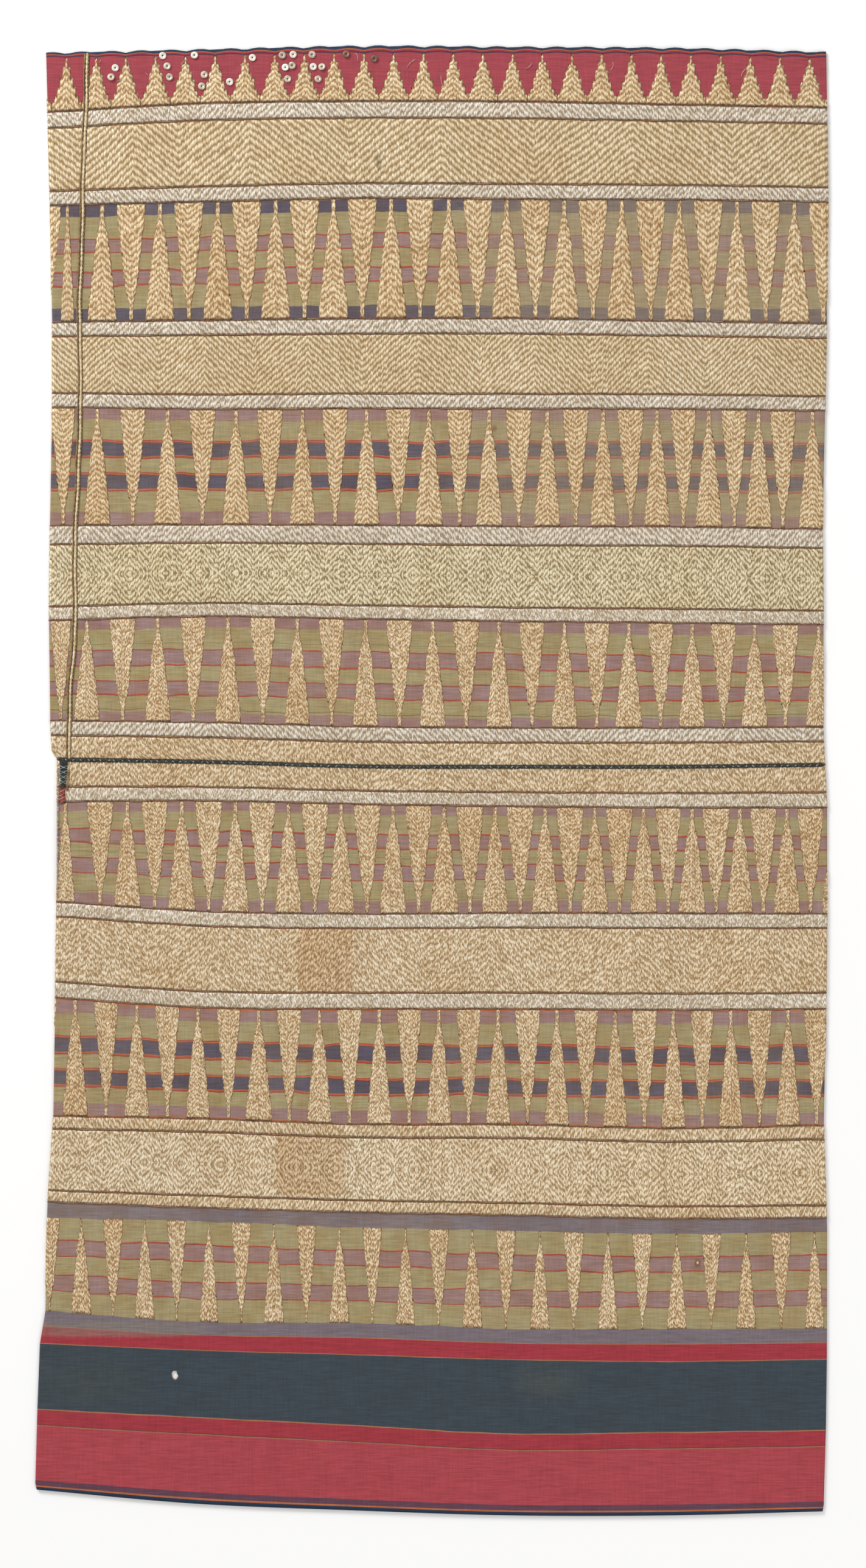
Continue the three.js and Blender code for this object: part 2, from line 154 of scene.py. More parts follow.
# %% Level lines
SECTION_ROWS = [
    # name, left, right, y at 0, 0.2, 0.4, 0.6, 0.8 and 1 of the width, in mm
    ("waist_edge", -320.8, 327.9, 605.1, 607.9, 610.8, 610.1, 609.2, 605.7),
    ("red_start", -320.6, 328.0, 601.1, 603.1, 605.2, 604.8, 604.1, 600.8),
    ("row_0_end", -319.5, 328.7, 555.2, 562.5, 564.3, 564.0, 561.5, 559.2),
    ("row_1_start", -317.5, 329.7, 477.7, 480.7, 483.7, 482.9, 482.3, 480.6),
    ("row_1_end", -315.7, 328.5, 380.8, 382.3, 383.7, 383.8, 381.7, 379.7),
    ("row_2_start", -315.7, 327.0, 310.1, 308.3, 308.9, 308.5, 308.6, 306.9),
    ("row_2_end", -317.5, 324.9, 211.8, 212.6, 212.1, 211.0, 210.9, 208.9),
    ("row_3_start", -318.3, 325.7, 132.6, 136.1, 134.0, 132.0, 130.8, 129.2),
    ("row_3_end", -317.3, 325.4, 49.8, 48.3, 44.8, 43.7, 43.7, 44.6),
    ("corner", -315.7, 326.4, 24.4, 22.3, 18.6, 18.2, 18.2, 19.7),
    ("join", -311.4, 326.9, 17.6, 15.4, 11.7, 11.4, 11.4, 13.1),
    ("row_4_start", -311.8, 328.7, -17.9, -17.2, -20.0, -21.8, -22.8, -22.8),
    ("row_4_end", -312.0, 328.8, -100.9, -109.0, -110.9, -110.2, -110.5, -110.8),
    ("row_5_start", -313.2, 327.9, -181.0, -189.1, -190.0, -190.1, -190.9, -190.1),
    ("row_5_end", -314.7, 325.9, -278.8, -281.1, -285.7, -285.9, -289.0, -286.5),
    ("grey_start", -319.5, 328.4, -350.6, -355.6, -359.3, -361.8, -364.5, -363.8),
    ("row_6_start", -320.0, 328.7, -363.3, -366.4, -371.5, -374.3, -376.9, -375.1),
    ("row_6_end", -321.3, 328.6, -441.2, -450.2, -451.2, -456.2, -456.2, -455.5),
    ("teal_start", -325.9, 328.5, -468.3, -474.0, -477.7, -481.7, -483.4, -481.4),
    ("teal_end", -328.0, 327.7, -522.4, -529.0, -535.4, -542.7, -541.5, -539.8),
    ("hem_line", -329.7, 325.9, -584.2, -594.1, -600.2, -604.8, -604.7, -602.1),
    ("hem_edge", -328.7, 325.1, -589.5, -601.1, -606.7, -610.9, -611.0, -607.6),
]
LEVEL = {row[0]: i for i, row in enumerate(SECTION_ROWS)}
TABLE = np.array([row[1:] for row in SECTION_ROWS]) * MM
KNOTS = 5


def heights_of(line, share):
    """Heights of level lines at a share of the width, on a smooth curve through the six."""
    place = np.clip(share, 0, 1) * KNOTS
    i = np.minimum(place.astype(int), KNOTS - 1)
    t = place - i

    def knot(k):
        return TABLE[line, 2 + np.clip(k, 0, KNOTS)]

    into = (knot(i + 1) - knot(i - 1)) / np.where(i == 0, 1, 2)
    out = (knot(i + 2) - knot(i)) / np.where(i == KNOTS - 1, 1, 2)
    rise = 3 * t**2 - 2 * t**3
    bend = (t**3 - 2 * t**2 + t) * into + (t**3 - t**2) * out
    return knot(i) * (1 - rise) + knot(i + 1) * rise + bend


def edges_at(down):
    """The x of the left and the right fold."""
    i = np.clip(np.floor(down).astype(int), 0, len(TABLE) - 2)
    t = down - i
    left = TABLE[i, 0] * (1 - t) + TABLE[i + 1, 0] * t
    right = TABLE[i, 1] * (1 - t) + TABLE[i + 1, 1] * t
    return left, right


def level_at(down, share):
    """The y of a level line, or of one between two, at a share of the width."""
    i = np.clip(np.floor(down).astype(int), 0, len(TABLE) - 2)
    t = down - i
    return heights_of(i, share) * (1 - t) + heights_of(i + 1, share) * t


def course_height(first, last):
    """Distance between two level lines in the middle of the skirt."""
    return float(level_at(np.array([first]), 0.5)[0] - level_at(np.array([last - 1e-9]), 0.5)[0])


def level_of(share, first, last):
    """The level at a share of the distance from one level line to another."""
    stages = [0, *(course_height(first, level) for level in range(first + 1, last + 1))]
    return first + np.interp(np.asarray(share) * stages[-1], stages, range(last - first + 1))


hem_low = level_at(np.full(200, LEVEL["hem_edge"] - 1e-9), np.linspace(0, 1, 200)).min()
TABLE[:, 2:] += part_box("lower_panel")[0].y - hem_low

# %% [markdown]
# Cloth that is stiff with metal thread doesn't lie dead flat. Wide swells stand where the two layers
# part a little, long soft creases come from years of folding, and the bare cloth between the
# triangles is drawn up into small puckers by the stitching. Each is a bump or a trough of its own
# size. The bands are stiff, so `SLACK` says how much a course of the skirt puckers. At the waist
# the tip of each small triangle pulls the edge down a little, which leaves it scalloped.

# %% Height of the cloth over the table
CLOTH = 0.5 * MM
FRONT_HEIGHT = 2.7 * MM
BACK_HEIGHT = 0.65 * MM
FOLD = 1.8 * MM
SCALLOP = 2.0 * MM
SCALLOP_FADE = ([0, 1, 1.4, 2], [1, 0.55, 0.2, 0])
OFF_TABLE = 0.01 * MM
USUAL_WIDTH = 0.65
WAIST_TIPS = (-303.6 * MM, 24.71 * MM)

SWELLS = [
    # x, y, half width, half length, height, in mm
    (-190, 430, 120, 150, 0.8),
    (60, 250, 180, 130, 1.0),
    (215, 480, 100, 110, 0.7),
    (-120, 60, 150, 90, 0.8),
    (190, -60, 120, 120, 0.9),
    (-170, -240, 130, 110, 1.0),
    (120, -330, 150, 100, 0.8),
    (-60, -530, 230, 70, 0.9),
    (-213, -494, 42, 36, -1.1),
]
CREASES = [
    # x, y, half length, half width, turn in degrees, height in mm
    (-120, 228, 170, 7, 2, 0.30),
    (150, 262, 140, 6, -3, -0.25),
    (240, 420, 60, 8, 84, 0.25),
    (-205, 90, 90, 6, -6, 0.28),
    (60, 78, 150, 7, 4, -0.28),
    (255, 95, 70, 6, 8, 0.25),
    (-90, -62, 130, 6, 3, 0.30),
    (170, -75, 120, 7, -4, -0.25),
    (20, -236, 190, 7, 1, 0.30),
    (-230, -255, 80, 6, 7, -0.28),
    (-30, -404, 210, 8, -2, 0.30),
    (210, -420, 110, 7, 5, -0.30),
    (-180, -495, 150, 10, -3, 0.45),
    (110, -512, 200, 9, 2, -0.40),
    (230, -500, 90, 8, 12, 0.40),
    (-110, -568, 220, 9, -4, 0.45),
    (120, -575, 180, 8, 3, -0.35),
    (-285, -540, 60, 9, 76, 0.40),
    (285, -560, 55, 8, -80, 0.35),
]
PUCKERS = [
    # length across and down in mm, phase, height in mm
    (46, 9.5, 0.3, 0.10),
    (-33, 13.0, 1.7, 0.09),
    (71, 17.0, 4.0, 0.10),
    (27, 24.0, 2.2, 0.07),
    (-19, 61.0, 5.1, 0.06),
]
SLACK = np.array([0.5, 1, 0.15, 1, 0.15, 1, 0.15, 1, 0.2, 0.2, 0.2, 1, 0.15, 1, 0.15,
                  0.6, 1, 0.7, 0.55, 0.5, 0.4])


def soft_bump(distance):
    return np.where(distance < 1, np.cos(np.minimum(distance, 1) * math.pi / 2) ** 2, 0)


def front_height(x, y, down):
    """Height of the front's outer face over the table."""
    z = np.full(np.shape(x), FRONT_HEIGHT)
    for sx, sy, half_x, half_y, height in SWELLS:
        reach = np.hypot((x - sx * MM) / (half_x * MM), (y - sy * MM) / (half_y * MM))
        z += height * MM * soft_bump(reach)
    for cx, cy, half_length, half_width, turn, height in CREASES:
        cos, sin = math.cos(math.radians(turn)), math.sin(math.radians(turn))
        along = (x - cx * MM) * cos + (y - cy * MM) * sin
        across = (y - cy * MM) * cos - (x - cx * MM) * sin
        across += 4 * MM * np.sin(along / (23 * MM) + cx)
        z += height * MM * soft_bump(abs(along) / (half_length * MM)) * soft_bump(
            abs(across) / (half_width * MM)
        )
    course = np.clip(np.floor(down).astype(int), 0, len(SLACK) - 1)
    slack = SLACK[course] * (1 - abs(2 * (down - course) - 1) ** 6)
    for across, along, phase, height in PUCKERS:
        wander = 1.3 * np.sin(x / (29 * MM) + y / (37 * MM) + 3 * phase)
        z += slack * height * MM * np.sin(2 * math.pi * (x / across + y / along) / MM + phase + wander)
    return z


def on_skirt(around, down, lift):
    """Points on the skirt. Lift is along the cloth's own outward direction."""
    around = np.mod(around, 2)
    front = around <= 1
    share = np.where(front, around, 2 - around)
    left, right = edges_at(down)
    from_fold = np.minimum(share, 1 - share) * (right - left)
    angle = np.clip(from_fold / FOLD, 0, 1) * math.pi / 2
    side = np.where(share < 0.5, -1, 1)
    y = level_at(down, share)
    x = left + share * (right - left)
    drawn = 1 - abs(np.sin(math.pi * (x - WAIST_TIPS[0]) / WAIST_TIPS[1]))
    y = y - SCALLOP * drawn * np.interp(down, *SCALLOP_FADE)
    x = np.clip(x, left + FOLD, right - FOLD)
    top = front_height(x, y, down)
    half = (top - BACK_HEIGHT) / 2
    z = BACK_HEIGHT + half + np.where(front, 1, -1) * (half + lift) * np.sin(angle)
    z = np.maximum(z, OFF_TABLE)
    x = x + side * np.where(from_fold < FOLD, (FOLD + lift) * np.cos(angle), 0)
    return np.stack([x, y, z], axis=-1)


def down_at(x, y):
    """Which level line, or which share between two, passes through places on the front."""
    x, y = np.asarray(x, float), np.asarray(y, float)
    down = np.full(x.shape, 10.0)
    for _ in range(2):
        left, right = edges_at(down)
        share = (x - left) / (right - left)
        levels = np.stack([heights_of(np.full(x.shape, i), share) for i in range(len(TABLE))])
        down = np.array([np.interp(-b, -levels[:, j], range(len(TABLE))) for j, b in enumerate(y)])
    return down


def on_front(x, y, lift):
    """Points over the front, for x and y in mm and a lift in metres."""
    x, y = np.asarray(x, float) * MM, np.asarray(y, float) * MM
    return np.stack([x, y, front_height(x, y, down_at(x, y)) + lift], axis=-1)


# %% [markdown]
# ## Rolling a flat grid into a tube
# A tube of cloth is a grid whose left and right edges meet. Its wall needs an inside too, so the
# rows go down the outside and come back up the inside, and the last row meets the first. A grid
# closed both ways is one solid with no open edge. Its columns and rows also give the maps that the
# finishes read, so a stripe or a stitch follows the cloth wherever it goes.


# %% Tube maker
def numbered(mesh, columns, rows):
    """Column and row of each vertex of a flat grid that is 2 wide and 2 high, row 0 at the top."""
    places = vertex_places(mesh)
    column = np.rint((places[:, 0] + 1) / 2 * columns).astype(int)
    row = rows - np.rint((places[:, 1] + 1) / 2 * rows).astype(int)
    return column, row


def write_map(mesh, name, u, v):
    """A UV map from one u and v for each face corner."""
    layer = mesh.uv_layers.new(name=name)
    layer.uv.foreach_set("vector", np.stack([u, v], axis=-1).astype(np.float32).ravel())


def corner_vertices(mesh):
    found = np.empty(len(mesh.loops), int)
    mesh.loops.foreach_get("vertex_index", found)
    return found


def finished(mesh, name, material):
    """An object for a mesh, smooth, in its material slots, riding with the skirt."""
    mesh.polygons.foreach_set("use_smooth", np.ones(len(mesh.polygons), bool))
    made = bpy.data.objects.new(name, mesh)
    scene.collection.objects.link(made)
    for each in material if isinstance(material, list) else [material]:
        mesh.materials.append(each)
    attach(made, "root")
    return made


def rolled(name, around, down, lift, strips, maps):
    """A closed tube mesh. around has a share for each column. down and lift have a row for each row
    of the tube, and a number for each column. strips are (first column, last column, share of the
    bake map). maps holds named (u, v) arrays with one row and one column more than the tube."""
    columns, rows = len(around), len(down)
    bm = bmesh.new()
    bmesh.ops.create_grid(bm, x_segments=columns, y_segments=rows, size=1)
    mesh = mesh_from(bm, name)
    column, row = numbered(mesh, columns, rows)
    wrapped = (row % rows, column % columns)
    places = on_skirt(around[wrapped[1]], down[wrapped], lift[wrapped])
    mesh.vertices.foreach_set("co", places.astype(np.float32).ravel())
    corners = corner_vertices(mesh)
    for map_name, (u, v) in maps.items():
        write_map(mesh, map_name, u[row[corners], column[corners]], v[row[corners], column[corners]])
    write_strips(mesh, column[corners], row[corners] / rows, strips)
    merge_doubles(mesh)
    return mesh


def write_strips(mesh, column, depth, strips, margin=0.004):
    """The map for baking: the long piece is cut into strips, stacked to fill a square."""
    face_column = column.reshape(-1, 4).min(axis=1).repeat(4)
    u = np.zeros(len(column))
    v = np.zeros(len(column))
    base = 0.0
    for first, last, share in strips:
        inside = (face_column >= first) & (face_column < last)
        u[inside] = margin + (1 - 2 * margin) * (column[inside] - first) / (last - first)
        v[inside] = base + margin + (share - 2 * margin) * (1 - depth[inside])
        base += share
    write_map(mesh, "OFBake", u, v)


# %% [markdown]
# ## Node helpers
# The finishes below are all built from nodes. Short helpers add a node with its settings and its
# inputs in one line, so that what a finish does stays easy to read.


# %% Node helpers
def node(tree, kind, inputs=None, **settings):
    """Adds a node. An input is a number, a colour or another node's output."""
    made = tree.nodes.new(kind)
    for name, value in settings.items():
        setattr(made, name, value)
    for key, value in (inputs or {}).items():
        if isinstance(value, bpy.types.NodeSocket):
            tree.links.new(value, made.inputs[key])
        else:
            made.inputs[key].default_value = value
    return made


def maths(tree, operation, *values):
    """The result of a Math node."""
    made = node(tree, "ShaderNodeMath", dict(enumerate(values)), operation=operation)
    return made.outputs[0]


def vector_maths(tree, operation, *values):
    """The vector result of a Vector Math node."""
    made = node(tree, "ShaderNodeVectorMath", dict(enumerate(values)), operation=operation)
    return made.outputs[0]


def blend_colours(tree, share, first, second, way="MIX"):
    """Mixes two colours."""
    made = node(tree, "ShaderNodeMix", data_type="RGBA", blend_type=way)
    for key, value in ((0, share), (6, first), (7, second)):
        if isinstance(value, bpy.types.NodeSocket):
            tree.links.new(value, made.inputs[key])
        else:
            made.inputs[key].default_value = value
    return made.outputs[2]


def noise(tree, place, scale, detail, **settings):
    """The value of a Noise Texture node."""
    inputs = {"Vector": place, "Scale": scale, "Detail": detail}
    return node(tree, "ShaderNodeTexNoise", inputs, **settings).outputs[0]


def object_place(tree):
    """Where on the object a point is."""
    return node(tree, "ShaderNodeTexCoord").outputs["Object"]


def ramp(tree, factor, stops, way="LINEAR"):
    """A colour ramp from (place, colour) stops."""
    made = node(tree, "ShaderNodeValToRGB", {0: factor})
    made.color_ramp.interpolation = way
    elements = made.color_ramp.elements
    while len(elements) < len(stops):
        elements.new(0.5)
    for element, (place, shade) in zip(elements, stops):
        element.position = place
        element.color = shade
    return made.outputs[0]


def colour(red, green, blue):
    """A colour as seen on a screen, 0 to 255, as the shader's own numbers."""
    parts = [x / 255 for x in (red, green, blue)]
    linear = [x / 12.92 if x < 0.04045 else ((x + 0.055) / 1.055) ** 2.4 for x in parts]
    return (*linear, 1)


def shader_group(name, inputs, outputs):
    """A node group with named sockets: its tree, its given values and its results."""
    tree = bpy.data.node_groups.new(name, "ShaderNodeTree")
    for label, kind, start in inputs:
        socket = tree.interface.new_socket(label, in_out="INPUT", socket_type=kind)
        if start is not None:
            socket.default_value = start
    for label, kind in outputs:
        tree.interface.new_socket(label, in_out="OUTPUT", socket_type=kind)
    given = node(tree, "NodeGroupInput").outputs
    results = node(tree, "NodeGroupOutput").inputs
    return tree, given, lambda label, value: tree.links.new(value, results[label])


def placed(tree, group, **values):
    """Puts a group into a material, with its own values."""
    made = node(tree, "ShaderNodeGroup", node_tree=bpy.data.node_groups[group])
    for label, value in values.items():
        label = label.replace("_", " ")
        if isinstance(value, bpy.types.NodeSocket):
            tree.links.new(value, made.inputs[label])
        else:
            made.inputs[label].default_value = value
    return made.outputs


def new_finish(name, roughness=0.8, metallic=0.0, specular=0.5):
    """A material with its plain values on the shader. Returns it, its tree and its shader."""
    made = bpy.data.materials.new(name)
    made.use_nodes = True
    shader = made.node_tree.nodes["Principled BSDF"]
    shader.inputs["Roughness"].default_value = roughness
    shader.inputs["Metallic"].default_value = metallic
    shader.inputs["Specular IOR Level"].default_value = specular
    return made, made.node_tree, shader


def raise_surface(tree, shader, height, distance, strength):
    inputs = {"Height": height, "Distance": distance, "Strength": strength}
    raised = node(tree, "ShaderNodeBump", inputs)
    tree.links.new(raised.outputs[0], shader.inputs["Normal"])


FLOAT, COLOUR, VECTOR = "NodeSocketFloat", "NodeSocketColor", "NodeSocketVector"

# %% [markdown]
# ## Weave, and the marks of age
# The ground is a plain weave of fine handspun thread. From arm's length single threads don't show,
# but their unevenness does, as faint streaks both ways. Age adds faded and stained clouds, and
# marks of its own in known places: a smudge, a stain, a patch that has browned. All three are
# groups, because several finishes share them, each with its own strengths.

# %% Weave group
tree, given, put = shader_group(
    "plain_weave", [("Contrast", FLOAT, 0.12)], [("Shade", FLOAT), ("Height", FLOAT)]
)
spot = object_place(tree)


def streaks(scale, detail):
    return noise(tree, vector_maths(tree, "MULTIPLY", spot, scale), 1.0, detail)


both = maths(tree, "MULTIPLY_ADD", streaks((1100, 55, 200), 3.0), 0.45, streaks((70, 1250, 200), 3.0))
level = maths(tree, "SUBTRACT", both, 0.72)
put("Shade", maths(tree, "MULTIPLY_ADD", level, given["Contrast"], 1.0))
put("Height", both)

# %% Clouds group
tree, given, put = shader_group(
    "clouds", [("Scale", FLOAT, 12.0), ("Edge", FLOAT, 0.1), ("Amount", FLOAT, 0.5)], [("Mask", FLOAT)]
)
cloud = noise(tree, object_place(tree), given["Scale"], 5.0)
low = maths(tree, "SUBTRACT", 0.5, given["Edge"])
high = maths(tree, "ADD", 0.5, given["Edge"])
spread = node(tree, "ShaderNodeMapRange", {0: cloud, 1: low, 2: high})
put("Mask", maths(tree, "MULTIPLY", spread.outputs[0], given["Amount"]))

# %% Mark group
tree, given, put = shader_group(
    "mark",
    [("Middle", VECTOR, None), ("Half Size", VECTOR, None), ("Squareness", FLOAT, 2.0),
     ("Softness", FLOAT, 0.2), ("Ragged", FLOAT, 0.3), ("Amount", FLOAT, 1.0)],
    [("Mask", FLOAT)],
)
spot = object_place(tree)
frayed = noise(tree, spot, 240.0, 2.0, noise_dimensions="2D")
from_middle = vector_maths(tree, "SUBTRACT", spot, given["Middle"])
away = vector_maths(tree, "DIVIDE", from_middle, given["Half Size"])
away = node(tree, "ShaderNodeSeparateXYZ", {0: vector_maths(tree, "ABSOLUTE", away)}).outputs
power = maths(tree, "ADD", maths(tree, "POWER", away["X"], given["Squareness"]),
              maths(tree, "POWER", away["Y"], given["Squareness"]))
distance = maths(tree, "POWER", power, maths(tree, "DIVIDE", 1.0, given["Squareness"]))
fray = maths(tree, "MULTIPLY", maths(tree, "SUBTRACT", frayed, 0.5), given["Ragged"])
distance = maths(tree, "ADD", distance, fray)
outer = maths(tree, "ADD", 1.0, given["Softness"])
inner = maths(tree, "SUBTRACT", 1.0, given["Softness"])
inside = node(tree, "ShaderNodeMapRange", {0: distance, 1: outer, 2: inner})
height = node(tree, "ShaderNodeSeparateXYZ", {0: spot}).outputs["Z"]
front_only = maths(tree, "GREATER_THAN", height, 1.4 * MM)
shown_there = maths(tree, "MULTIPLY", inside.outputs[0], given["Amount"])
put("Mask", maths(tree, "MULTIPLY", front_only, shown_there))


# %% Adding marks to a finish
def with_marks(tree, shown, marks, way="MIX"):
    """Lays marks over a colour. Each is x, y, half width, half length in mm, squareness, softness,
    ragged edge, amount and colour."""
    for x, y, half_x, half_y, squareness, softness, ragged, amount, shade in marks:
        mask = placed(
            tree, "mark", Middle=(x * MM, y * MM, 0), Half_Size=(half_x * MM, half_y * MM, 1),
            Squareness=squareness, Softness=softness, Ragged=ragged, Amount=amount,
        )["Mask"]
        shown = blend_colours(tree, mask, shown, shade, way)
    return shown


# %% [markdown]
# ## Couched thread
# Each column is a pair of metal-wrapped threads laid side by side. A small stitch holds the pair down
# at every few millimetres, and between stitches it rises in a little arch that catches the light.
# The stitches of neighbouring columns are shifted, and that shift alone draws the zigzags, diamonds
# and chevrons. The `stitch` map counts columns in u and stitches in v, so a group can find the
# groove beside a column and the dip at a stitch from the fractions, whatever the pattern is. There
# the group paints shade into the colour, and on the top of each arch a painted highlight, mixed
# with random specks of lighter and darker thread.

# %% Couched thread group
tree, given, put = shader_group(
    "couched_thread",
    [
        ("Stitch", VECTOR, None),
        # The first colour is painted shade for the grooves and stitches, the third a painted highlight
        # for the tops of the arches.
        ("Deep", COLOUR, None),
        ("Base", COLOUR, None),
        ("Bright", COLOUR, None),
        ("Unevenness", FLOAT, 0.4),
        ("Jitter", FLOAT, 0.5),
        ("Groove", FLOAT, 0.22),
        ("Arch", FLOAT, 1.5),
    ],
    [("Color", COLOUR), ("Height", FLOAT), ("Dullness", FLOAT)],
)
count = node(tree, "ShaderNodeSeparateXYZ", {0: given["Stitch"]}).outputs


def hump(value, power):
    """Rises from 0 to 1 and back over each whole number."""
    wave = maths(tree, "SINE", maths(tree, "MULTIPLY", maths(tree, "FRACT", value), math.pi))
    return maths(tree, "POWER", wave, power)


between_pairs = hump(count["X"], given["Groove"])
shallow = maths(tree, "MULTIPLY", given["Groove"], 0.7)
within_pair = hump(maths(tree, "MULTIPLY", count["X"], 2.0), shallow)
whole = vector_maths(tree, "FLOOR", vector_maths(tree, "MULTIPLY", given["Stitch"], (2, 1, 1)))
dice = node(tree, "ShaderNodeTexWhiteNoise", {"Vector": whole}, noise_dimensions="2D").outputs
each = dice["Value"]
other = node(tree, "ShaderNodeSeparateColor", {0: dice["Color"]}).outputs["Blue"]
moved = maths(tree, "MULTIPLY_ADD", maths(tree, "SUBTRACT", other, 0.5), given["Jitter"], count["Y"])
across = maths(tree, "MULTIPLY", between_pairs, within_pair)
body = maths(tree, "MULTIPLY", across, hump(moved, given["Arch"]))
speck_place = vector_maths(tree, "MULTIPLY", given["Stitch"], (3.3, 6.6, 1))
speck = noise(tree, speck_place, 1.0, 2.0)
uneven = maths(tree, "MULTIPLY_ADD", speck, 2.6, maths(tree, "MULTIPLY_ADD", each, 0.8, -1.7))
# Painted light: the colour follows the arch. It is darker as painted shade in the grooves and at the
# stitches, and lighter as a painted highlight on each crest, with random specks added.
painted_light_and_specks = maths(tree, "MULTIPLY_ADD", uneven, given["Unevenness"], body)
lower = node(tree, "ShaderNodeMapRange", {0: painted_light_and_specks, 1: 0.0, 2: 0.55}).outputs[0]
upper = node(tree, "ShaderNodeMapRange", {0: painted_light_and_specks, 1: 0.58, 2: 1.0}).outputs[0]
shaded = blend_colours(tree, lower, given["Deep"], given["Base"])
put("Color", blend_colours(tree, upper, shaded, given["Bright"]))
put("Height", body)
put("Dullness", maths(tree, "SUBTRACT", 1.0, painted_light_and_specks))


# %% Metal thread finishes
def thread_finish(name, painted_shade, base, bright, unevenness, jitter,
                  clouds=(11.0, 0.4), dull=(234, 216, 184), marks=()):
    """Couched metal thread in three colours, with duller clouds and marks. The first colour is painted
    shade for the grooves and stitches, the second the thread's own colour and the third a painted
    highlight on the arches. The last stitches were laid less evenly, which jitter stands for."""
    made, tree, shader = new_finish(name, metallic=0.3)
    stitch = node(tree, "ShaderNodeUVMap", uv_map="stitch").outputs[0]
    thread = placed(tree, "couched_thread", Stitch=stitch, Deep=colour(*painted_shade), Base=colour(*base),
                    Bright=colour(*bright), Unevenness=unevenness, Jitter=jitter)
    worn = placed(tree, "clouds", Scale=clouds[0], Amount=clouds[1], Edge=0.16)["Mask"]
    shown = blend_colours(tree, worn, thread["Color"], colour(*dull), "MULTIPLY")
    shown = with_marks(tree, shown, marks, "MULTIPLY")
    tree.links.new(shown, shader.inputs["Base Color"])
    rough = node(tree, "ShaderNodeMapRange", {0: thread["Dullness"], 3: 0.4, 4: 0.7}).outputs[0]
    tree.links.new(rough, shader.inputs["Roughness"])
    raise_surface(tree, shader, thread["Height"], 0.4 * MM, 0.6)
    return made


SMUDGE = (-44.3, 513.7, 2.2, 5.6, 2.0, 0.5, 1.6, 0.65, colour(150, 160, 138))
BROWNED_5 = (-88.5, -149.0, 23.0, 27.0, 9.0, 0.04, 0.0, 0.38, colour(222, 190, 148))
BROWNED_6 = (-101.0, -318.0, 28.5, 27.0, 9.0, 0.04, 0.0, 0.45, colour(214, 178, 128))
# Each finish gives its painted shade, its base colour and its painted highlight, then unevenness and
# jitter.
GOLD = thread_finish(
    "gold_couching", (150, 125, 86), (208, 183, 142), (250, 240, 216), 0.45, 0.3, marks=[SMUDGE]
)
FINE_GOLD = thread_finish(
    "fine_gold_couching", (156, 128, 90), (212, 185, 145), (250, 240, 218), 0.7, 0.65,
    marks=[BROWNED_5],
)
PALE_GOLD = thread_finish(
    "pale_gold_couching", (134, 116, 80), (216, 196, 156), (251, 244, 220), 0.55, 0.5,
    dull=(236, 226, 200)
)
ROW_GOLD = thread_finish(
    "gold_triangles", (154, 123, 82), (216, 185, 141), (250, 238, 208), 0.62, 0.42,
    clouds=(9.0, 0.45), dull=(230, 210, 178)
)
LATE_GOLD = thread_finish(
    "late_gold_triangles", (154, 123, 82), (214, 183, 140), (252, 240, 212), 0.8, 0.7,
    clouds=(9.0, 0.45), dull=(230, 210, 178)
)
SILVER = thread_finish(
    "silver_couching", (152, 134, 112), (212, 197, 174), (253, 249, 240), 0.55, 0.45,
    clouds=(13.0, 0.35), dull=(226, 216, 198)
)
PALE_SILVER = thread_finish(
    "pale_silver_couching", (164, 144, 118), (210, 194, 169), (253, 247, 234), 0.8, 0.8,
    clouds=(13.0, 0.35), dull=(226, 216, 198)
)
BLANCHED_GOLD = thread_finish(
    "blanched_gold_couching", (154, 128, 92), (221, 198, 160), (252, 244, 224), 0.7, 0.55,
    clouds=(7.0, 0.4), dull=(236, 214, 180), marks=[BROWNED_6]
)

# %% [markdown]
# ## The striped ground
# The stripes run round the tube, so they depend only on how far down a point is, and the `cloth` map
# keeps that number in v. Each course between two level lines has its own list of stripes, given by
# where each one ends. A ramp without blending keeps their edges crisp, and a little noise on the
# number makes them waver as handwoven stripes do.

# %% Stripe colours
GREEN = colour(157, 145, 105)
OLIVE = colour(112, 104, 66)
MAUVE = colour(147, 117, 115)
NAVY = colour(82, 76, 92)
RED = colour(168, 70, 52)
DARK_RED = colour(116, 48, 42)
ORANGE = colour(176, 100, 62)
TAN = colour(160, 106, 78)
GREY = colour(117, 106, 112)
CRIMSON = colour(156, 52, 62)
LOWER_RED = colour(165, 66, 74)
WAIST_RED = colour(158, 68, 77)
TEAL = colour(58, 68, 76)
EDGE_NAVY = colour(40, 56, 78)
PURPLE = colour(80, 52, 70)
HEM_PURPLE = colour(94, 62, 78)
BROWN = colour(112, 58, 60)
GROUND = colour(150, 122, 84)
HAIR = 0.010
EDGE = 0.004


def course(*stripes):
    """Stripes of one course, as (end, colour). Colours after the first are fine lines at its end,
    with a dark last thread."""
    listed = []
    for end, shade, *lines in stripes:
        listed.append((end, shade))
        for line in lines:
            end += HAIR
            listed.append((end, line))
        if lines:
            listed.append((end + EDGE, DARK_RED))
    return listed


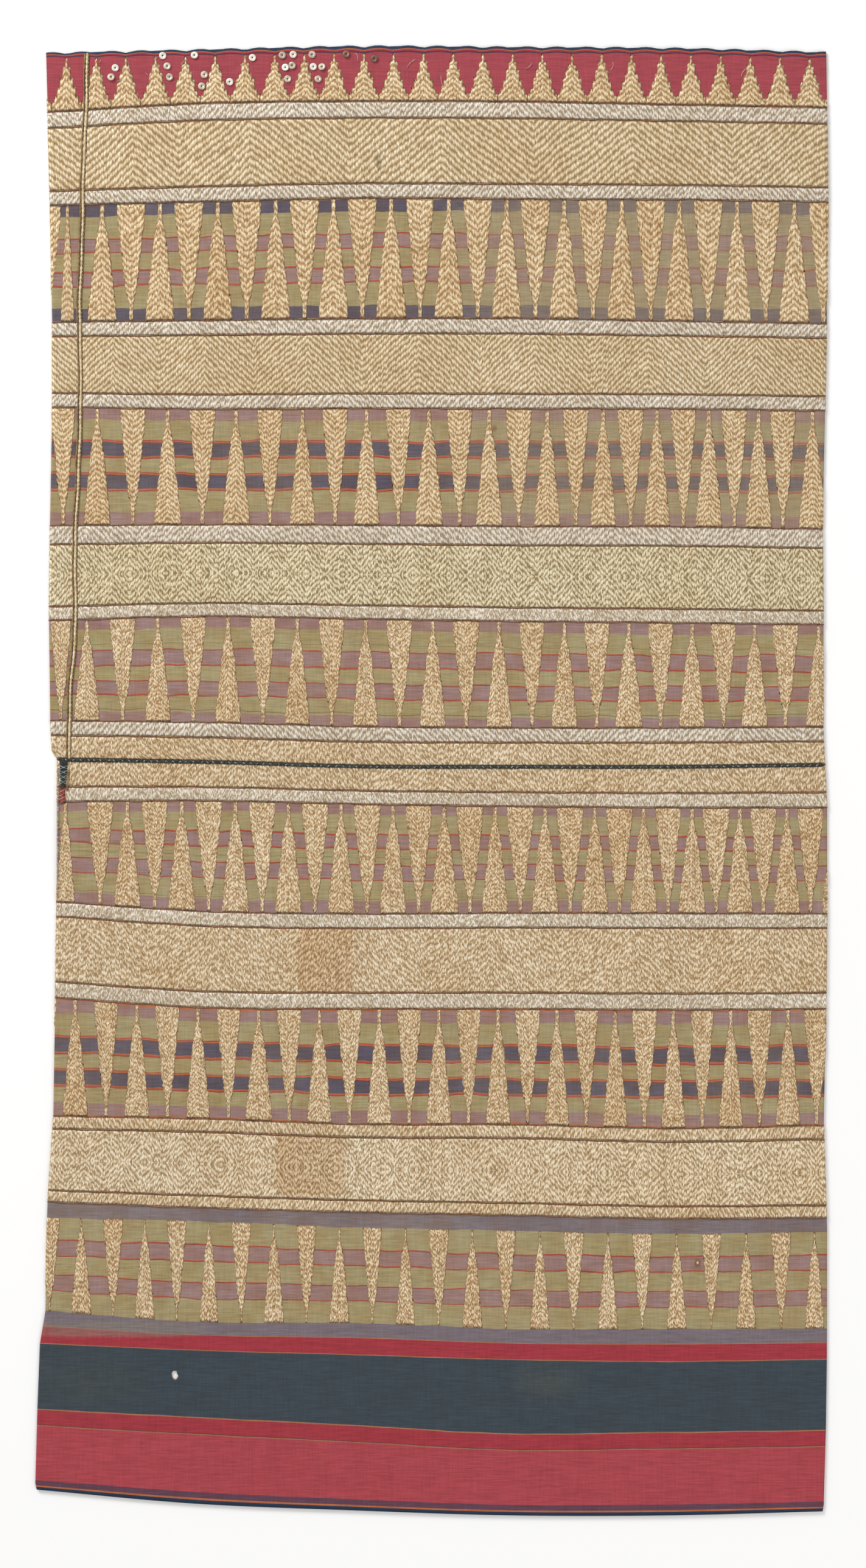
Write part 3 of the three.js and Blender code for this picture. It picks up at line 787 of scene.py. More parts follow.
STRIPES = {
    "waist_edge": course((0.40, EDGE_NAVY), (0.54, ORANGE), (0.76, CRIMSON), (1.0, PURPLE)),
    "red_start": course((1.0, WAIST_RED)),
    "row_1_start": course((0.104, NAVY), (0.286, GREEN, RED), (0.403, MAUVE, RED), (0.562, GREEN, RED),
                          (0.686, MAUVE, RED), (0.889, GREEN), (1.0, NAVY)),
    "row_2_start": course((0.099, MAUVE), (0.268, GREEN, RED, ORANGE), (0.403, NAVY, ORANGE, RED),
                          (0.55, GREEN, RED, ORANGE), (0.683, NAVY, ORANGE, RED),
                          (0.89, GREEN), (1.0, MAUVE)),
    "row_3_start": course((0.105, MAUVE), (0.24, GREEN), (0.245, OLIVE), (0.297, GREEN, RED),
                          (0.448, MAUVE, RED), (0.598, GREEN, RED), (0.734, MAUVE, RED),
                          (0.882, GREEN), (0.887, OLIVE), (0.909, GREEN), (1.0, MAUVE)),
    "row_4_start": course((0.092, MAUVE), (0.265, GREEN, RED), (0.393, MAUVE, RED), (0.482, GREEN),
                          (0.487, OLIVE), (0.54, GREEN, RED), (0.685, MAUVE, RED), (0.865, GREEN),
                          (0.87, OLIVE), (0.883, GREEN), (1.0, MAUVE)),
    "row_5_start": course((0.014, ORANGE), (0.119, MAUVE), (0.303, GREEN, RED, ORANGE),
                          (0.442, NAVY, ORANGE, RED), (0.586, GREEN, RED, ORANGE),
                          (0.728, NAVY, ORANGE, RED), (0.886, GREEN), (0.988, MAUVE), (1.0, ORANGE)),
    "grey_start": course((1.0, GREY)),
    "row_6_start": course((0.229, GREEN, RED), (0.389, MAUVE, RED), (0.599, GREEN, RED),
                          (0.758, MAUVE, RED), (1.0, GREEN)),
    "row_6_end": course((0.44, GREY), (0.465, TAN), (0.97, CRIMSON), (1.0, TAN)),
    "teal_start": course((1.0, TEAL)),
    "teal_end": course((0.013, TAN), (0.205, CRIMSON), (0.216, BROWN), (0.228, TAN),
                       (0.955, LOWER_RED), (1.0, HEM_PURPLE)),
    "hem_line": course((0.3, HEM_PURPLE), (0.52, ORANGE), (1.0, EDGE_NAVY)),
}


# %% Striped ground finish
def striped(tree, down, first, last):
    """The colour of the stripes in every course from one level line to another."""
    shown = GROUND
    for name, stripes in STRIPES.items():
        if not first <= LEVEL[name] < last:
            continue
        depth = maths(tree, "SUBTRACT", down, float(LEVEL[name]))
        starts = [0.0, *(end for end, _ in stripes[:-1])]
        here = ramp(tree, depth, list(zip(starts, (c for _, c in stripes))), "CONSTANT")
        inside = maths(tree, "COMPARE", depth, 0.5, 0.5)
        shown = blend_colours(tree, inside, shown, here)
    return shown


def straight_lines(tree, down, waver):
    """The plain borders waver less than the courses that the stitches draw in."""
    return maths(tree, "MULTIPLY_ADD", waver, 0.02, maths(tree, "SUBTRACT", down, 0.01))


def ground_finish(name, first, last, marks):
    """The striped cotton and silk of one panel."""
    made, tree, shader = new_finish(name, roughness=0.82, specular=0.25)
    place = node(tree, "ShaderNodeUVMap", uv_map="cloth").outputs[0]
    down = node(tree, "ShaderNodeSeparateXYZ", {0: place}).outputs["Y"]
    waver = noise(tree, object_place(tree), 30.0, 3.0)
    waved = maths(tree, "MULTIPLY_ADD", waver, 0.07, maths(tree, "SUBTRACT", down, 0.035))
    last_gold = LEVEL["row_6_end"]
    among_gold = maths(tree, "COMPARE", down, (2.0 + last_gold) / 2, last_gold / 2 - 1.0)
    apart = blend_colours(tree, among_gold, straight_lines(tree, down, waver), waved)
    shown = striped(tree, apart, first, last)
    faded = placed(tree, "clouds", Scale=9.0, Amount=0.22, Edge=0.2)["Mask"]
    faded = maths(tree, "MULTIPLY", faded, among_gold)
    shown = blend_colours(tree, faded, shown, colour(168, 152, 132))
    stained = placed(tree, "clouds", Scale=52.0, Amount=0.4, Edge=0.12)["Mask"]
    stained = maths(tree, "MULTIPLY", stained, maths(tree, "MULTIPLY_ADD", among_gold, 0.8, 0.2))
    shown = blend_colours(tree, stained, shown, colour(240, 210, 170), "MULTIPLY")
    shown = with_marks(tree, shown, marks)
    weave = placed(tree, "plain_weave", Contrast=0.85)
    shaded = vector_maths(tree, "MULTIPLY", shown, weave["Shade"])
    tree.links.new(shaded, shader.inputs["Base Color"])
    raise_surface(tree, shader, weave["Height"], 0.25 * MM, 0.35)
    return made


FADED = colour(152, 134, 112)
UPPER_GROUND = ground_finish("upper_ground", 0, LEVEL["join"], [
    (205, 432, 175, 60, 6.0, 0.18, 0.2, 0.45, FADED),
    (205, 260, 175, 60, 6.0, 0.18, 0.2, 0.35, FADED),
    (51.9, 292.4, 2.0, 2.6, 2.0, 0.5, 1.0, 0.7, colour(120, 84, 56)),
    (51.9, 216.4, 2.6, 2.0, 2.0, 0.5, 1.0, 0.7, colour(120, 84, 56)),
])
LOWER_GROUND = ground_finish("lower_ground", LEVEL["join"], LEVEL["hem_edge"], [
    (221, -401, 2.4, 3.0, 2.0, 0.35, 0.9, 0.85, colour(110, 74, 48)),
    (221, -400.6, 0.9, 1.2, 2.0, 0.4, 0.6, 1.0, colour(200, 186, 150)),
    (96, -500, 22, 11, 2.0, 0.8, 1.2, 0.3, colour(88, 88, 76)),
    (-285, -500, 34, 16, 2.0, 0.8, 1.2, 0.35, colour(72, 76, 66)),
    (-262, -455.6, 66, 6.5, 5.0, 0.2, 0.4, 0.5, colour(128, 118, 106)),
])

# %% [markdown]
# ## The two tubes of cloth
# Columns are close together over the front, where the puckers show, and wide apart under the back.
# Rows are close in the bare courses and wider apart where couching will hide the cloth. The inside
# wall needs only a row every few centimetres.


# %% Cloth tubes
BARE_STEP = 3.6 * MM
COVERED_STEP = 4.6 * MM
SHORT_OF_JOIN = 0.15 / 80


def around_shares(front, back):
    """Shares round the skirt, with extra steps at the folds."""
    turn = FOLD / USUAL_WIDTH
    fold = np.array([0.25, 0.5, 0.75]) * turn
    over = np.linspace(turn, 1 - turn, front)
    under = np.linspace(1 + turn, 2 - turn, back)
    return np.concatenate([[0], fold, over, 1 - fold[::-1], [1], 1 + fold, under, 2 - fold[::-1]])


def cloth_tube(name, first, last, material, node_name):
    """One panel: outside from its first level line to its last, and back up inside."""
    around = around_shares(141, 40)
    outside = []
    for level in range(first, last):
        step = BARE_STEP if SLACK[level] > 0.3 else COVERED_STEP
        count = max(2, round(course_height(level, level + 1) / step))
        outside += list(level + np.arange(count) / count)
    outside = np.array([*outside, last - 1e-6])
    inside = np.linspace(last - 1e-6, first, 26)
    down = np.concatenate([outside, inside])
    depth = np.concatenate([np.zeros(len(outside)), np.full(len(inside), -CLOTH)])
    rows, columns = len(down), len(around)
    if first:
        down = np.maximum(down, first + SHORT_OF_JOIN)
    else:
        down = np.minimum(down, last - SHORT_OF_JOIN)
    full_down = np.repeat(down[:, None], columns, axis=1)
    full_lift = np.repeat(depth[:, None], columns, axis=1)
    v = np.repeat(np.append(down, down[0])[:, None], columns + 1, axis=1)
    u = np.repeat(np.append(around, 2)[None, :], rows + 1, axis=0)
    over = int(np.searchsorted(around, 1))
    strips = [(0, over, 0.7), (over, columns, 0.3)]
    mesh = rolled(name, around, full_down, full_lift, strips, {"cloth": (u, v)})
    made = finished(mesh, name, material)
    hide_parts(node_name)
    print(name, len(mesh.polygons), "faces")
    return made


upper_cloth = cloth_tube("upper_cloth", 0, LEVEL["join"], UPPER_GROUND, "upper_panel")
lower_cloth = cloth_tube("lower_cloth", LEVEL["join"], LEVEL["hem_edge"], LOWER_GROUND, "lower_panel")

# %% [markdown]
# The dark stripe near the hem has a small torn hole that goes through both layers. A many-sided
# plug of uneven width, cut out of the finished tube, leaves it with clean walls and no loose edge.

# %% Hole in the dark stripe
HOLE_X, HOLE_Y = -213.7 * MM, -494.4 * MM
HOLE_HALF_WIDTH, HOLE_HALF_LENGTH = 2.1 * MM, 2.9 * MM
bm = bmesh.new()
ring = bmesh.ops.create_circle(bm, cap_ends=True, segments=11, radius=1)["verts"]
for vert in ring:
    reach = 1 + chance.normal(0, 0.12)
    across, along = HOLE_HALF_WIDTH * vert.co.x, HOLE_HALF_LENGTH * vert.co.y
    vert.co = (HOLE_X + across * reach, HOLE_Y + along * reach, -MM)
wall = bmesh.ops.extrude_face_region(bm, geom=bm.faces[:])["geom"]
top = [v for v in wall if isinstance(v, bmesh.types.BMVert)]
bmesh.ops.translate(bm, verts=top, vec=(0, 0, 4 * MM))
bmesh.ops.scale(bm, verts=top, vec=(1.5, 1.5, 1), space=Matrix.Translation((-HOLE_X, -HOLE_Y, 0)))
bmesh.ops.recalc_face_normals(bm, faces=bm.faces)
plug = bpy.data.objects.new("plug", mesh_from(bm, "plug"))
cut = lower_cloth.modifiers.new("hole", "BOOLEAN")
cut.operation = "DIFFERENCE"
cut.object = plug
cut.solver = "EXACT"
holed = evaluated_mesh(lower_cloth)
lower_cloth.modifiers.clear()
print("faces before and after the cut:", len(lower_cloth.data.polygons), len(holed.polygons))
lower_cloth.data = holed
bpy.data.objects.remove(plug)

# %% [markdown]
# ## Couched bands
# A band is a sleeve of thread columns over the cloth. The mesh has a valley and a crest for each
# column, and three rows to each stitch, so the ridges are real and throw real shadows. Where
# the stitches of neighbouring columns step up or down decides the drawing, and `turns` lists where
# it changes direction, by x in mm. A mirrored band steps both ways from its middle line, which
# makes diamonds.

# %% Band table
VALLEY = 0.24 * MM
SUNK = -0.15 * MM
PRESSED = 0.45 * MM


def evenly(first, last, pitch):
    """Evenly spaced turns from one x to another."""
    return tuple(np.arange(first, last, pitch))


def silver(start, end, *turns):
    return (start, end, SILVER, 2.0, 5.4, -1.0, turns, False, 0.08)


def pale_silver(start, end, *turns):
    return (start, end, PALE_SILVER, 2.0, 4.8, -1.0, turns, False, 0.16)


BANDS = {
    # band: level lines it lies between, and its parts, each with start and end in shares,
    # finish, column and stitch in mm, slope, turns, mirrored, unevenness
    "band_1": ("row_0_end", "row_1_start", [
        silver(0.0, 0.172, -330, -294, -249, -197, -114, -39, 70, 231),
        (0.172, 0.846, GOLD, 2.3, 6.0, -0.84, (-330, -292, -248, -210, -151, -68, 8, 85, 167, 250),
         False, 0.04),
        silver(0.846, 1.0, -293, -209, -141, -42, 58, 114, 221, 320),
    ]),
    "band_2": ("row_1_end", "row_2_start", [
        silver(0.0, 0.169, -330, -294, -219, -86, -11, 90, 164, 242),
        (0.169, 0.834, GOLD, 2.1, 5.2, -1.0,
         (-330, -292, -265, -227, -189, -148, -103, -57, -11, 40, 86, 131, 180, 227, 270), False, 0.08),
        silver(0.834, 1.0, -275, -210, -74, -6, 121, 181),
    ]),
    "band_3": ("row_2_end", "row_3_start", [
        silver(0.0, 0.201, -289, -246, -168, 84, 149, 219),
        (0.201, 0.854, PALE_GOLD, 2.1, 4.9, -1.15, evenly(-265.5, 330, 14.7), True, 0.07),
        pale_silver(0.854, 1.0, -297, -236, -196, -51, 67),
    ]),
    "band_4_upper": ("row_3_end", "join", [
        silver(0.0, 0.388, -184, -78, -35, 114, 257, 308),
        (0.388, 0.985, FINE_GOLD, 2.1, 5.0, -0.9, (-330, -308, -247, -159, -67, 7, 72, 157, 237, 313),
         False, 0.10),
    ]),
    "band_4_lower": ("join", "row_4_start", [
        (0.012, 0.645, FINE_GOLD, 2.1, 4.8, -0.9, (-260, -231, -149, -59, 12, 103, 200, 261),
         False, 0.13),
        pale_silver(0.645, 1.0, -330, -294, -246, -182, -94, 113, 148, 183, 273),
    ]),
    "band_5": ("row_4_end", "row_5_start", [
        pale_silver(0.0, 0.153, -330, -311, -148, 17, 84, 196),
        (0.153, 0.831, FINE_GOLD, 2.1, 5.0, -0.85,
         (-285, -235, -180, -120, -65, -5, 50, 105, 165, 220, 275), False, 0.13),
        pale_silver(0.831, 1.0, -250, -157, -80, 56, 108, 152, 284),
    ]),
    "band_6": ("row_5_end", "grey_start", [
        (0.0, 0.153, FINE_GOLD, 2.0, 5.6, -1.4, (-305, -236, -165, -90, 6, 75, 204, 247), False, 0.08),
        (0.153, 0.861, BLANCHED_GOLD, 2.1, 4.8, -1.15, evenly(-320, 330, 16.0), True, 0.15),
        (0.861, 1.0, FINE_GOLD, 2.0, 5.6, -1.4, (133, 183, 226, 296), False, 0.08),
    ]),
}


# %% Band maker
def zigzag(x, turns):
    """A line that climbs and falls by as much as it goes across, turning at each turn."""
    knots = np.array([-0.4, *(t * MM for t in turns), 0.4])
    legs = np.diff(knots) * np.where(np.arange(len(knots) - 1) % 2, -1, 1)
    return np.interp(x, knots, np.concatenate([[0], np.cumsum(legs)]))


def relief(crest, phase):
    """Lift of couched thread. crest is 0 in a valley and 1 on a crest."""
    arch = abs(np.sin(math.pi * phase)) ** 0.8
    return VALLEY + MM * (0.07 * crest + (0.22 + 0.16 * crest) * arch)


def band_part(name, top, bottom, part):
    """One sleeve of couched thread, as a closed mesh."""
    start, end, _, column, stitch, slope, turns, mirrored, unevenness = part
    first, last = LEVEL[top], LEVEL[bottom]
    left, right = (side[0] for side in edges_at(np.array([(first + last) / 2])))
    height = course_height(first, last)
    columns = round((right - left) / (column * MM))
    over = np.linspace(0, 1, 2 * columns + 1)
    fold = FOLD / (right - left) * np.array([0.25, 0.5, 0.75, 1.0])
    under = np.linspace(1 + fold[-1], 2 - fold[-1], 41)[1:-1]
    around = np.concatenate([over, 1 + fold, under, 2 - fold[::-1]])
    rows = max(4, round((end - start) * height / (stitch * MM / 3)))
    depth = np.linspace(start, end, rows)
    down = level_of(depth, first, last)
    x = left + np.append(around, 2) * (right - left)
    way = zigzag(np.minimum(x, right), turns) + np.maximum(x - right, 0)
    run = depth * height
    if mirrored:
        run = abs(run - (start + end) / 2 * height)
    shift = chance.normal(0, unevenness, len(x)).repeat(2)[: len(x)]
    shift += sum(0.13 * np.sin(x / (mm * MM) + chance.uniform(0, 6.3)) for mm in (8, 17, 29))
    phase = (run[:, None] - slope * way[None, :]) / (stitch * MM) + shift[None, :] + 60
    phase = np.concatenate([phase, phase[:1]])
    crest = np.arange(len(around)) % 2
    lift = relief(crest[None, :], phase[:-1, :-1])
    lift += chance.normal(0, (0.02 + 0.35 * unevenness) * MM, lift.shape)
    lift[:, len(over):] = PRESSED
    lift[0] = lift[-1] = SUNK
    u = np.repeat((np.append(around, 2) * columns)[None, :], rows + 1, axis=0)
    full_down = np.repeat(down[:, None], len(around), axis=1)
    third = len(over) // 3
    strips = [(0, third, 0.28), (third, 2 * third, 0.28), (2 * third, len(over) - 1, 0.28),
              (len(over) - 1, len(around), 0.16)]
    return rolled(name, around, full_down, lift, strips, {"stitch": (u, phase)})


def joined(name, meshes, materials):
    """Joins meshes, each with its own finish, into one piece."""
    bm = bmesh.new()
    for index, mesh in enumerate(meshes):
        before = len(bm.faces)
        bm.from_mesh(mesh)
        bm.faces.ensure_lookup_table()
        for face in bm.faces[before:]:
            face.material_index = index
    mesh = mesh_from(bm, name)
    for each in meshes:
        bpy.data.meshes.remove(each)
    return finished(mesh, name, materials)


for name, (top, bottom, parts) in BANDS.items():
    meshes = [band_part(f"{name}_{i}", top, bottom, part) for i, part in enumerate(parts)]
    band = joined(name, meshes, [part[2] for part in parts])
    print(name, len(band.data.polygons), "faces")

# %% [markdown]
# ## Rows of triangles
# Between the bands stand and hang tall narrow triangles, the bamboo-shoot border of Indonesian cloth.
# Each is made of whole thread columns, and its stitches make chevrons that point to its tip. One
# flat grid is made for each, the cells outside its outline are deleted, and its rim is closed from
# below. They are laid out with room between, like pieces on a tray, and each then goes to its own
# place in its row. A standing one is a hanging one turned half round. The small ones at the waist
# have clear steps. The others narrow evenly, and their outer column is trimmed to the outline.

# %% Triangle table
TRIANGLE_ROWS = [
    # level line it starts at, first, middle and last x, count, base, tip, hangs,
    # columns, stitch, slope, unevenness
    ("red_start", -303.6, 5.5, 314.2, 26, 24.9, 1.8, False, 11, 4.6, 0.85, 0.07),
    ("row_1_start", -249.9, 38.2, 325.4, 13, 24.6, 2.6, True, 11, 5.4, 0.85, 0.07),
    ("row_2_start", -248.4, 47.9, 291.9, 12, 22.0, 2.6, True, 11, 4.4, 0.85, 0.14),
    ("row_3_start", -257.0, 28.6, 294.0, 11, 21.5, 2.6, True, 11, 3.9, 0.9, 0.26),
    ("row_4_start", -275.7, 31.6, 314.7, 15, 22.5, 2.6, True, 11, 3.9, 0.9, 0.26),
    ("row_5_start", -270.7, 30.6, 319.8, 13, 20.5, 2.6, True, 11, 3.9, 0.9, 0.26),
    ("row_6_start", -265.1, 5.8, 290.4, 11, 16.2, 1.6, True, 9, 4.2, 0.9, 0.24),
]
LEFT_STRIP = {
    # left of the seam the upper rows have triangles of their own: x, base, hangs
    "row_1_start": [(-302.8, 11.0, False), (-320.5, 25.0, True)],
    "row_2_start": [(-306.5, 20.0, True)],
    "row_3_start": [(-308.4, 17.0, True)],
    "row_4_start": [(-304.6, 15.5, False)],
}
STEP_ENDS = [1.0, 0.83, 0.64, 0.47, 0.29, 0.14]
SEAM_X = -292
TRAY = 100 * MM
PAST_FOLD = 12
RIM = 0.06 * MM
SERRATION = 0.9 * MM


def places_in(row):
    """(x, hangs, base) of every triangle of a row, over the front and on round the back."""
    name, first, middle, last, count, base, _, hangs = row[:8]
    left, right = (side[0] / MM for side in edges_at(np.array([LEVEL[name] + 0.5])))
    bend = (first + last) / 2 - middle
    pitch = (last - first) / (count - 1)

    def centre(i):
        t = 2 * i / (count - 1) - 1
        if i > count - 1:
            return last + (i - count + 1) * pitch
        return middle + t * (last - first) / 2 + bend * t * t

    strip = [(x, down, wide) for x, wide, down in LEFT_STRIP.get(name, ())]
    found = []
    for i in range(-2, 3 * count):
        found.append((centre(i), hangs, base))
        if hangs:
            found.append(((centre(i) + centre(i + 1)) / 2, False, base))
    stop = left + 2 * (right - left)
    start = SEAM_X + 5 if strip else left - base / 2
    front = [t for t in found if start < t[0] < right] + strip
    past_left = max(0, *(left - x + wide / 2 + 1 for x, _, wide in front))
    kept = [t for t in found if start < t[0] and t[0] + base / 2 < stop - past_left]
    kept = [(x, down, wide * float(chance.normal(1, 0.025 if hangs else 0))) for x, down, wide in kept]
    return kept + strip


OUTLINE = (
    # share of the length, and share of the width there
    [0, 0.13, 0.27, 0.4, 0.54, 0.67, 0.78, 0.87, 1],
    [1, 0.92, 0.8, 0.68, 0.56, 0.46, 0.3, 0.13, 0.12],
)


def half_width(run, base, tip):
    """Half of a triangle's width at a share of its length: full sides, then a long thin stalk."""
    return np.maximum(tip / 2, base / 2 * np.interp(run, *OUTLINE))


def column_ends(row, base):
    """How far down a triangle each column from the middle reaches, as a share."""
    if row[0] == "red_start":
        return [end + float(chance.normal(0, 0.01)) for end in STEP_ENDS[:-1]] + [STEP_ENDS[-1]]
    width, tip = base / row[8], row[6]
    inner = (np.arange(1, row[8] // 2 + 1) - 0.4) * width
    ends = np.interp(inner / (base / 2), OUTLINE[1][::-1], OUTLINE[0][::-1])
    return [1.0, *(ends + chance.normal(0, 0.01, len(ends)))]


def tray_triangle(bm, index, columns, rows, width, height, reach, under):
    """A flat hanging triangle of thread columns, its top edge on the x axis."""
    verts = bmesh.ops.create_grid(bm, x_segments=2 * columns, y_segments=rows, size=0.5)["verts"]
    unused = []
    for face in {face for vert in verts for face in vert.link_faces}:
        middle = face.calc_center_median()
        column = abs(math.floor((middle.x + 0.5) * columns) - columns // 2)
        if 0.5 - middle.y > reach[column]:
            unused.append(face)
    bmesh.ops.delete(bm, geom=unused, context="FACES")
    for vert in verts:
        if vert.is_valid:
            rim = -1.0 if vert.is_boundary else 1.0
            vert.co = (index * TRAY + vert.co.x * columns * width, (vert.co.y - 0.5) * height, rim)
    edges = {edge for vert in verts if vert.is_valid for edge in vert.link_edges if edge.is_boundary}
    filled = bmesh.ops.holes_fill(bm, edges=list(edges), sides=0)["faces"]
    for face in bmesh.ops.triangulate(bm, faces=filled)["faces"]:
        face[under] = 1


def triangle_row(number, row):
    """All triangles of one row as one piece."""
    name, _, _, _, _, base, _, _, columns, stitch = row[:10]
    first = LEVEL[name]
    height = course_height(first, first + 1)
    right = edges_at(np.array([first + 0.5]))[1][0] / MM
    spots = places_in(row)
    bm = bmesh.new()
    under = bm.faces.layers.int.new("under")
    for index, (x, _, wide) in enumerate(spots):
        on_front = x < right + PAST_FOLD
        rows = round(height / (stitch * MM / (2 if on_front or name == "red_start" else 1)))
        reach = column_ends(row, wide)
        tray_triangle(bm, index, columns, rows, wide / columns * MM, height, reach, under)
    mesh = mesh_from(bm, f"triangles_{number}")
    lay_row(mesh, spots, row, first, height, right)
    return finished(mesh, mesh.name, ROW_GOLD if number < 3 else LATE_GOLD)


def lay_row(mesh, spots, row, first, height, right):
    """Moves each triangle from the tray to the skirt, and writes its maps."""
    tip, columns, stitch, slope, uneven = row[6] * MM, row[8], row[9] * MM, row[10], row[11]
    places = vertex_places(mesh)
    index = np.rint(places[:, 0] / TRAY).astype(int)
    spot_x = np.array([s[0] for s in spots])[index] * MM
    hangs = np.array([s[1] for s in spots])[index]
    base = np.array([s[2] for s in spots])[index] * MM
    width = base / columns
    local = places[:, 0] - index * TRAY
    run = -places[:, 1]
    on_crest = np.rint(local / width * 2 + columns).astype(int) % 2 == 1
    drift = chance.normal(0, uneven, (len(spots), columns + 1))
    thread = np.clip(np.floor(local / width + columns / 2).astype(int), 0, columns)
    phase = (run + slope * abs(local)) / stitch + drift[index, thread]
    phase += 0.3 * np.sin(index * 2.1 + run / (19 * MM)) + 20
    if row[0] != "red_start":
        outline = half_width(run / height, base, tip)
        outline += SERRATION * (abs(np.sin(math.pi * (run + slope * outline) / stitch)) - 0.5)
        outline += chance.normal(0, 0.15 * MM, len(run))
        inner = abs(local) - width / 2
        trimmed = np.where(on_crest, np.minimum(abs(local), (inner + outline) / 2), outline)
        local = np.sign(local) * np.minimum(abs(local), np.maximum(trimmed, 0))
    behind = spot_x > (right + PAST_FOLD) * MM
    lift = relief(on_crest | behind, phase) * np.where(behind, 0.6, 1)
    lift += chance.normal(0, 0.07 * MM, len(run))
    lift = np.where(places[:, 2] > 0, lift, RIM)
    x = spot_x + np.where(hangs, 1, -1) * local
    share = np.where(hangs, run / height, 1 - run / height)
    down = first + share
    left_edge, right_edge = edges_at(down)
    around = (x - left_edge) / (right_edge - left_edge)
    laid = on_skirt(around, down, lift)
    mesh.vertices.foreach_set("co", laid.astype(np.float32).ravel())
    corners = corner_vertices(mesh)
    u = places[:, 0] / width + columns / 2
    write_map(mesh, "stitch", u[corners], phase[corners])
    write_tray_map(mesh, index[corners], (places[:, 0] - index * TRAY)[corners] / base[corners],
                   (run / height)[corners], len(spots))


def write_tray_map(mesh, index, across, depth, count, tiers=3):
    """The map for baking: the triangles side by side in tiers, their undersides folded away."""
    under = np.empty(len(mesh.polygons), int)
    mesh.attributes["under"].data.foreach_get("value", under)
    sizes = np.empty(len(mesh.polygons), int)
    mesh.polygons.foreach_get("loop_total", sizes)
    under = under.repeat(sizes) == 1
    in_tier = math.ceil(count / tiers)
    u = (index % in_tier + 0.5 + 0.92 * across) / in_tier
    v = 0.04 + 0.95 * (index // in_tier + 0.02 + 0.96 * depth) / tiers
    write_map(mesh, "OFBake", np.where(under, 0.5 + 0.4 * across, u), np.where(under, 0.03 * depth, v))


for number, row in enumerate(TRIANGLE_ROWS):
    piece = triangle_row(number, row)
    print(piece.name, len(piece.data.polygons), "faces")

# %% [markdown]
# ## Cords and stitches
# What joins and edges the parts is thread too, but thicker and single: a fine dark cord on each
# border of a band, a thick two-ply gold cord down the seam, a dark braid over the join, and cross
# stitches at the corner. Each follows a line through points on the cloth. A curve with a round
# bevel gives a line its thickness, and becomes a plain mesh once it is right.


# %% Thread maker
def thread_mesh(name, paths, radius, sides=0, closed=False):
    """Round threads through rows of points, as one closed mesh. sides counts extra bevel steps."""
    curve = bpy.data.curves.new(name, "CURVE")
    curve.dimensions = "3D"
    curve.bevel_depth = radius
    curve.bevel_resolution = sides
    curve.use_fill_caps = not closed
    for path in paths:
        spline = curve.splines.new("POLY")
        spline.points.add(len(path) - 1)
        spline.points.foreach_set("co", np.column_stack([path, np.ones(len(path))]).ravel())
        room = (path[:, 2] - 0.04 * MM) / radius
        thickness = np.clip(chance.normal(1, 0.07, len(path)), 0.3, np.minimum(room, 1.1))
        spline.points.foreach_set("radius", thickness)
        spline.use_cyclic_u = closed
    drawn = bpy.data.objects.new(name, curve)
    scene.collection.objects.link(drawn)
    mesh = evaluated_mesh(drawn)
    bpy.data.objects.remove(drawn)
    bpy.data.curves.remove(curve)
    merge_doubles(mesh, outward=True)
    mesh.materials.clear()
    mesh.name = name
    return mesh


def cord_finish(name, dark, light, scale, roughness=0.7, metallic=0.0):
    """Spun thread: dark and light lengths, and fine fibres."""
    made, tree, shader = new_finish(name, roughness=roughness, metallic=metallic)
    spot = object_place(tree)
    patchy = noise(tree, spot, scale, 1.0)
    share = node(tree, "ShaderNodeMapRange", {0: patchy, 1: 0.42, 2: 0.58}).outputs[0]
    shown = blend_colours(tree, share, colour(*dark), colour(*light))
    fibre = noise(tree, spot, 1900.0, 2.0)
    shown = blend_colours(tree, maths(tree, "MULTIPLY", fibre, 0.25), shown, colour(*dark))
    tree.links.new(shown, shader.inputs["Base Color"])
    rough = maths(tree, "MULTIPLY_ADD", fibre, 0.2, roughness - 0.1)
    tree.links.new(rough, shader.inputs["Roughness"])
    raise_surface(tree, shader, fibre, 0.1 * MM, 0.25)
    return made


BORDER_THREAD = cord_finish("border_thread", (100, 66, 48), (148, 92, 68), 420.0)
CORD_GOLD = cord_finish("gold_cord", (204, 178, 136), (236, 216, 178), 260.0, 0.5, 0.15)
DULL_CORD = cord_finish("dull_gold_cord", (138, 112, 74), (176, 150, 106), 300.0, 0.6, 0.15)
DARK_THREAD = cord_finish("dark_thread", (36, 37, 33), (62, 66, 60), 420.0)
FLECK_THREAD = cord_finish("fleck_thread", (128, 146, 146), (188, 200, 196), 300.0)
OLIVE_THREAD = cord_finish("olive_thread", (92, 74, 46), (128, 104, 66), 300.0)
RED_THREAD = cord_finish("red_thread", (120, 48, 40), (176, 82, 64), 300.0)
PALE_THREAD = cord_finish("pale_thread", (170, 158, 140), (228, 218, 204), 260.0, 0.55, 0.15)
EDGE_THREAD = cord_finish("edge_thread", (150, 128, 112), (214, 196, 180), 520.0, 0.6, 0.1)

# %% [markdown]
# A border cord runs right round the skirt on each line where one part of a band ends. On the front
# it rides on the edge of the couching. Under the back it is pressed flatter by the skirt's weight.


# %% Border cords
def ring_path(level, lift, under_lift, front=168, back=36):
    """Points right round the skirt on a level line, with a slight waver."""
    around = around_shares(front, back)
    over = (around > 0) & (around < 1)
    x = around * USUAL_WIDTH / MM
    waver = 0.25 * MM * (np.sin(x / 11 + level) + np.sin(x / 4.3 + 3 * level)) * over
    path = on_skirt(around, np.full(len(around), level), np.where(over, lift, under_lift))
    path[:, 1] += waver
    return path


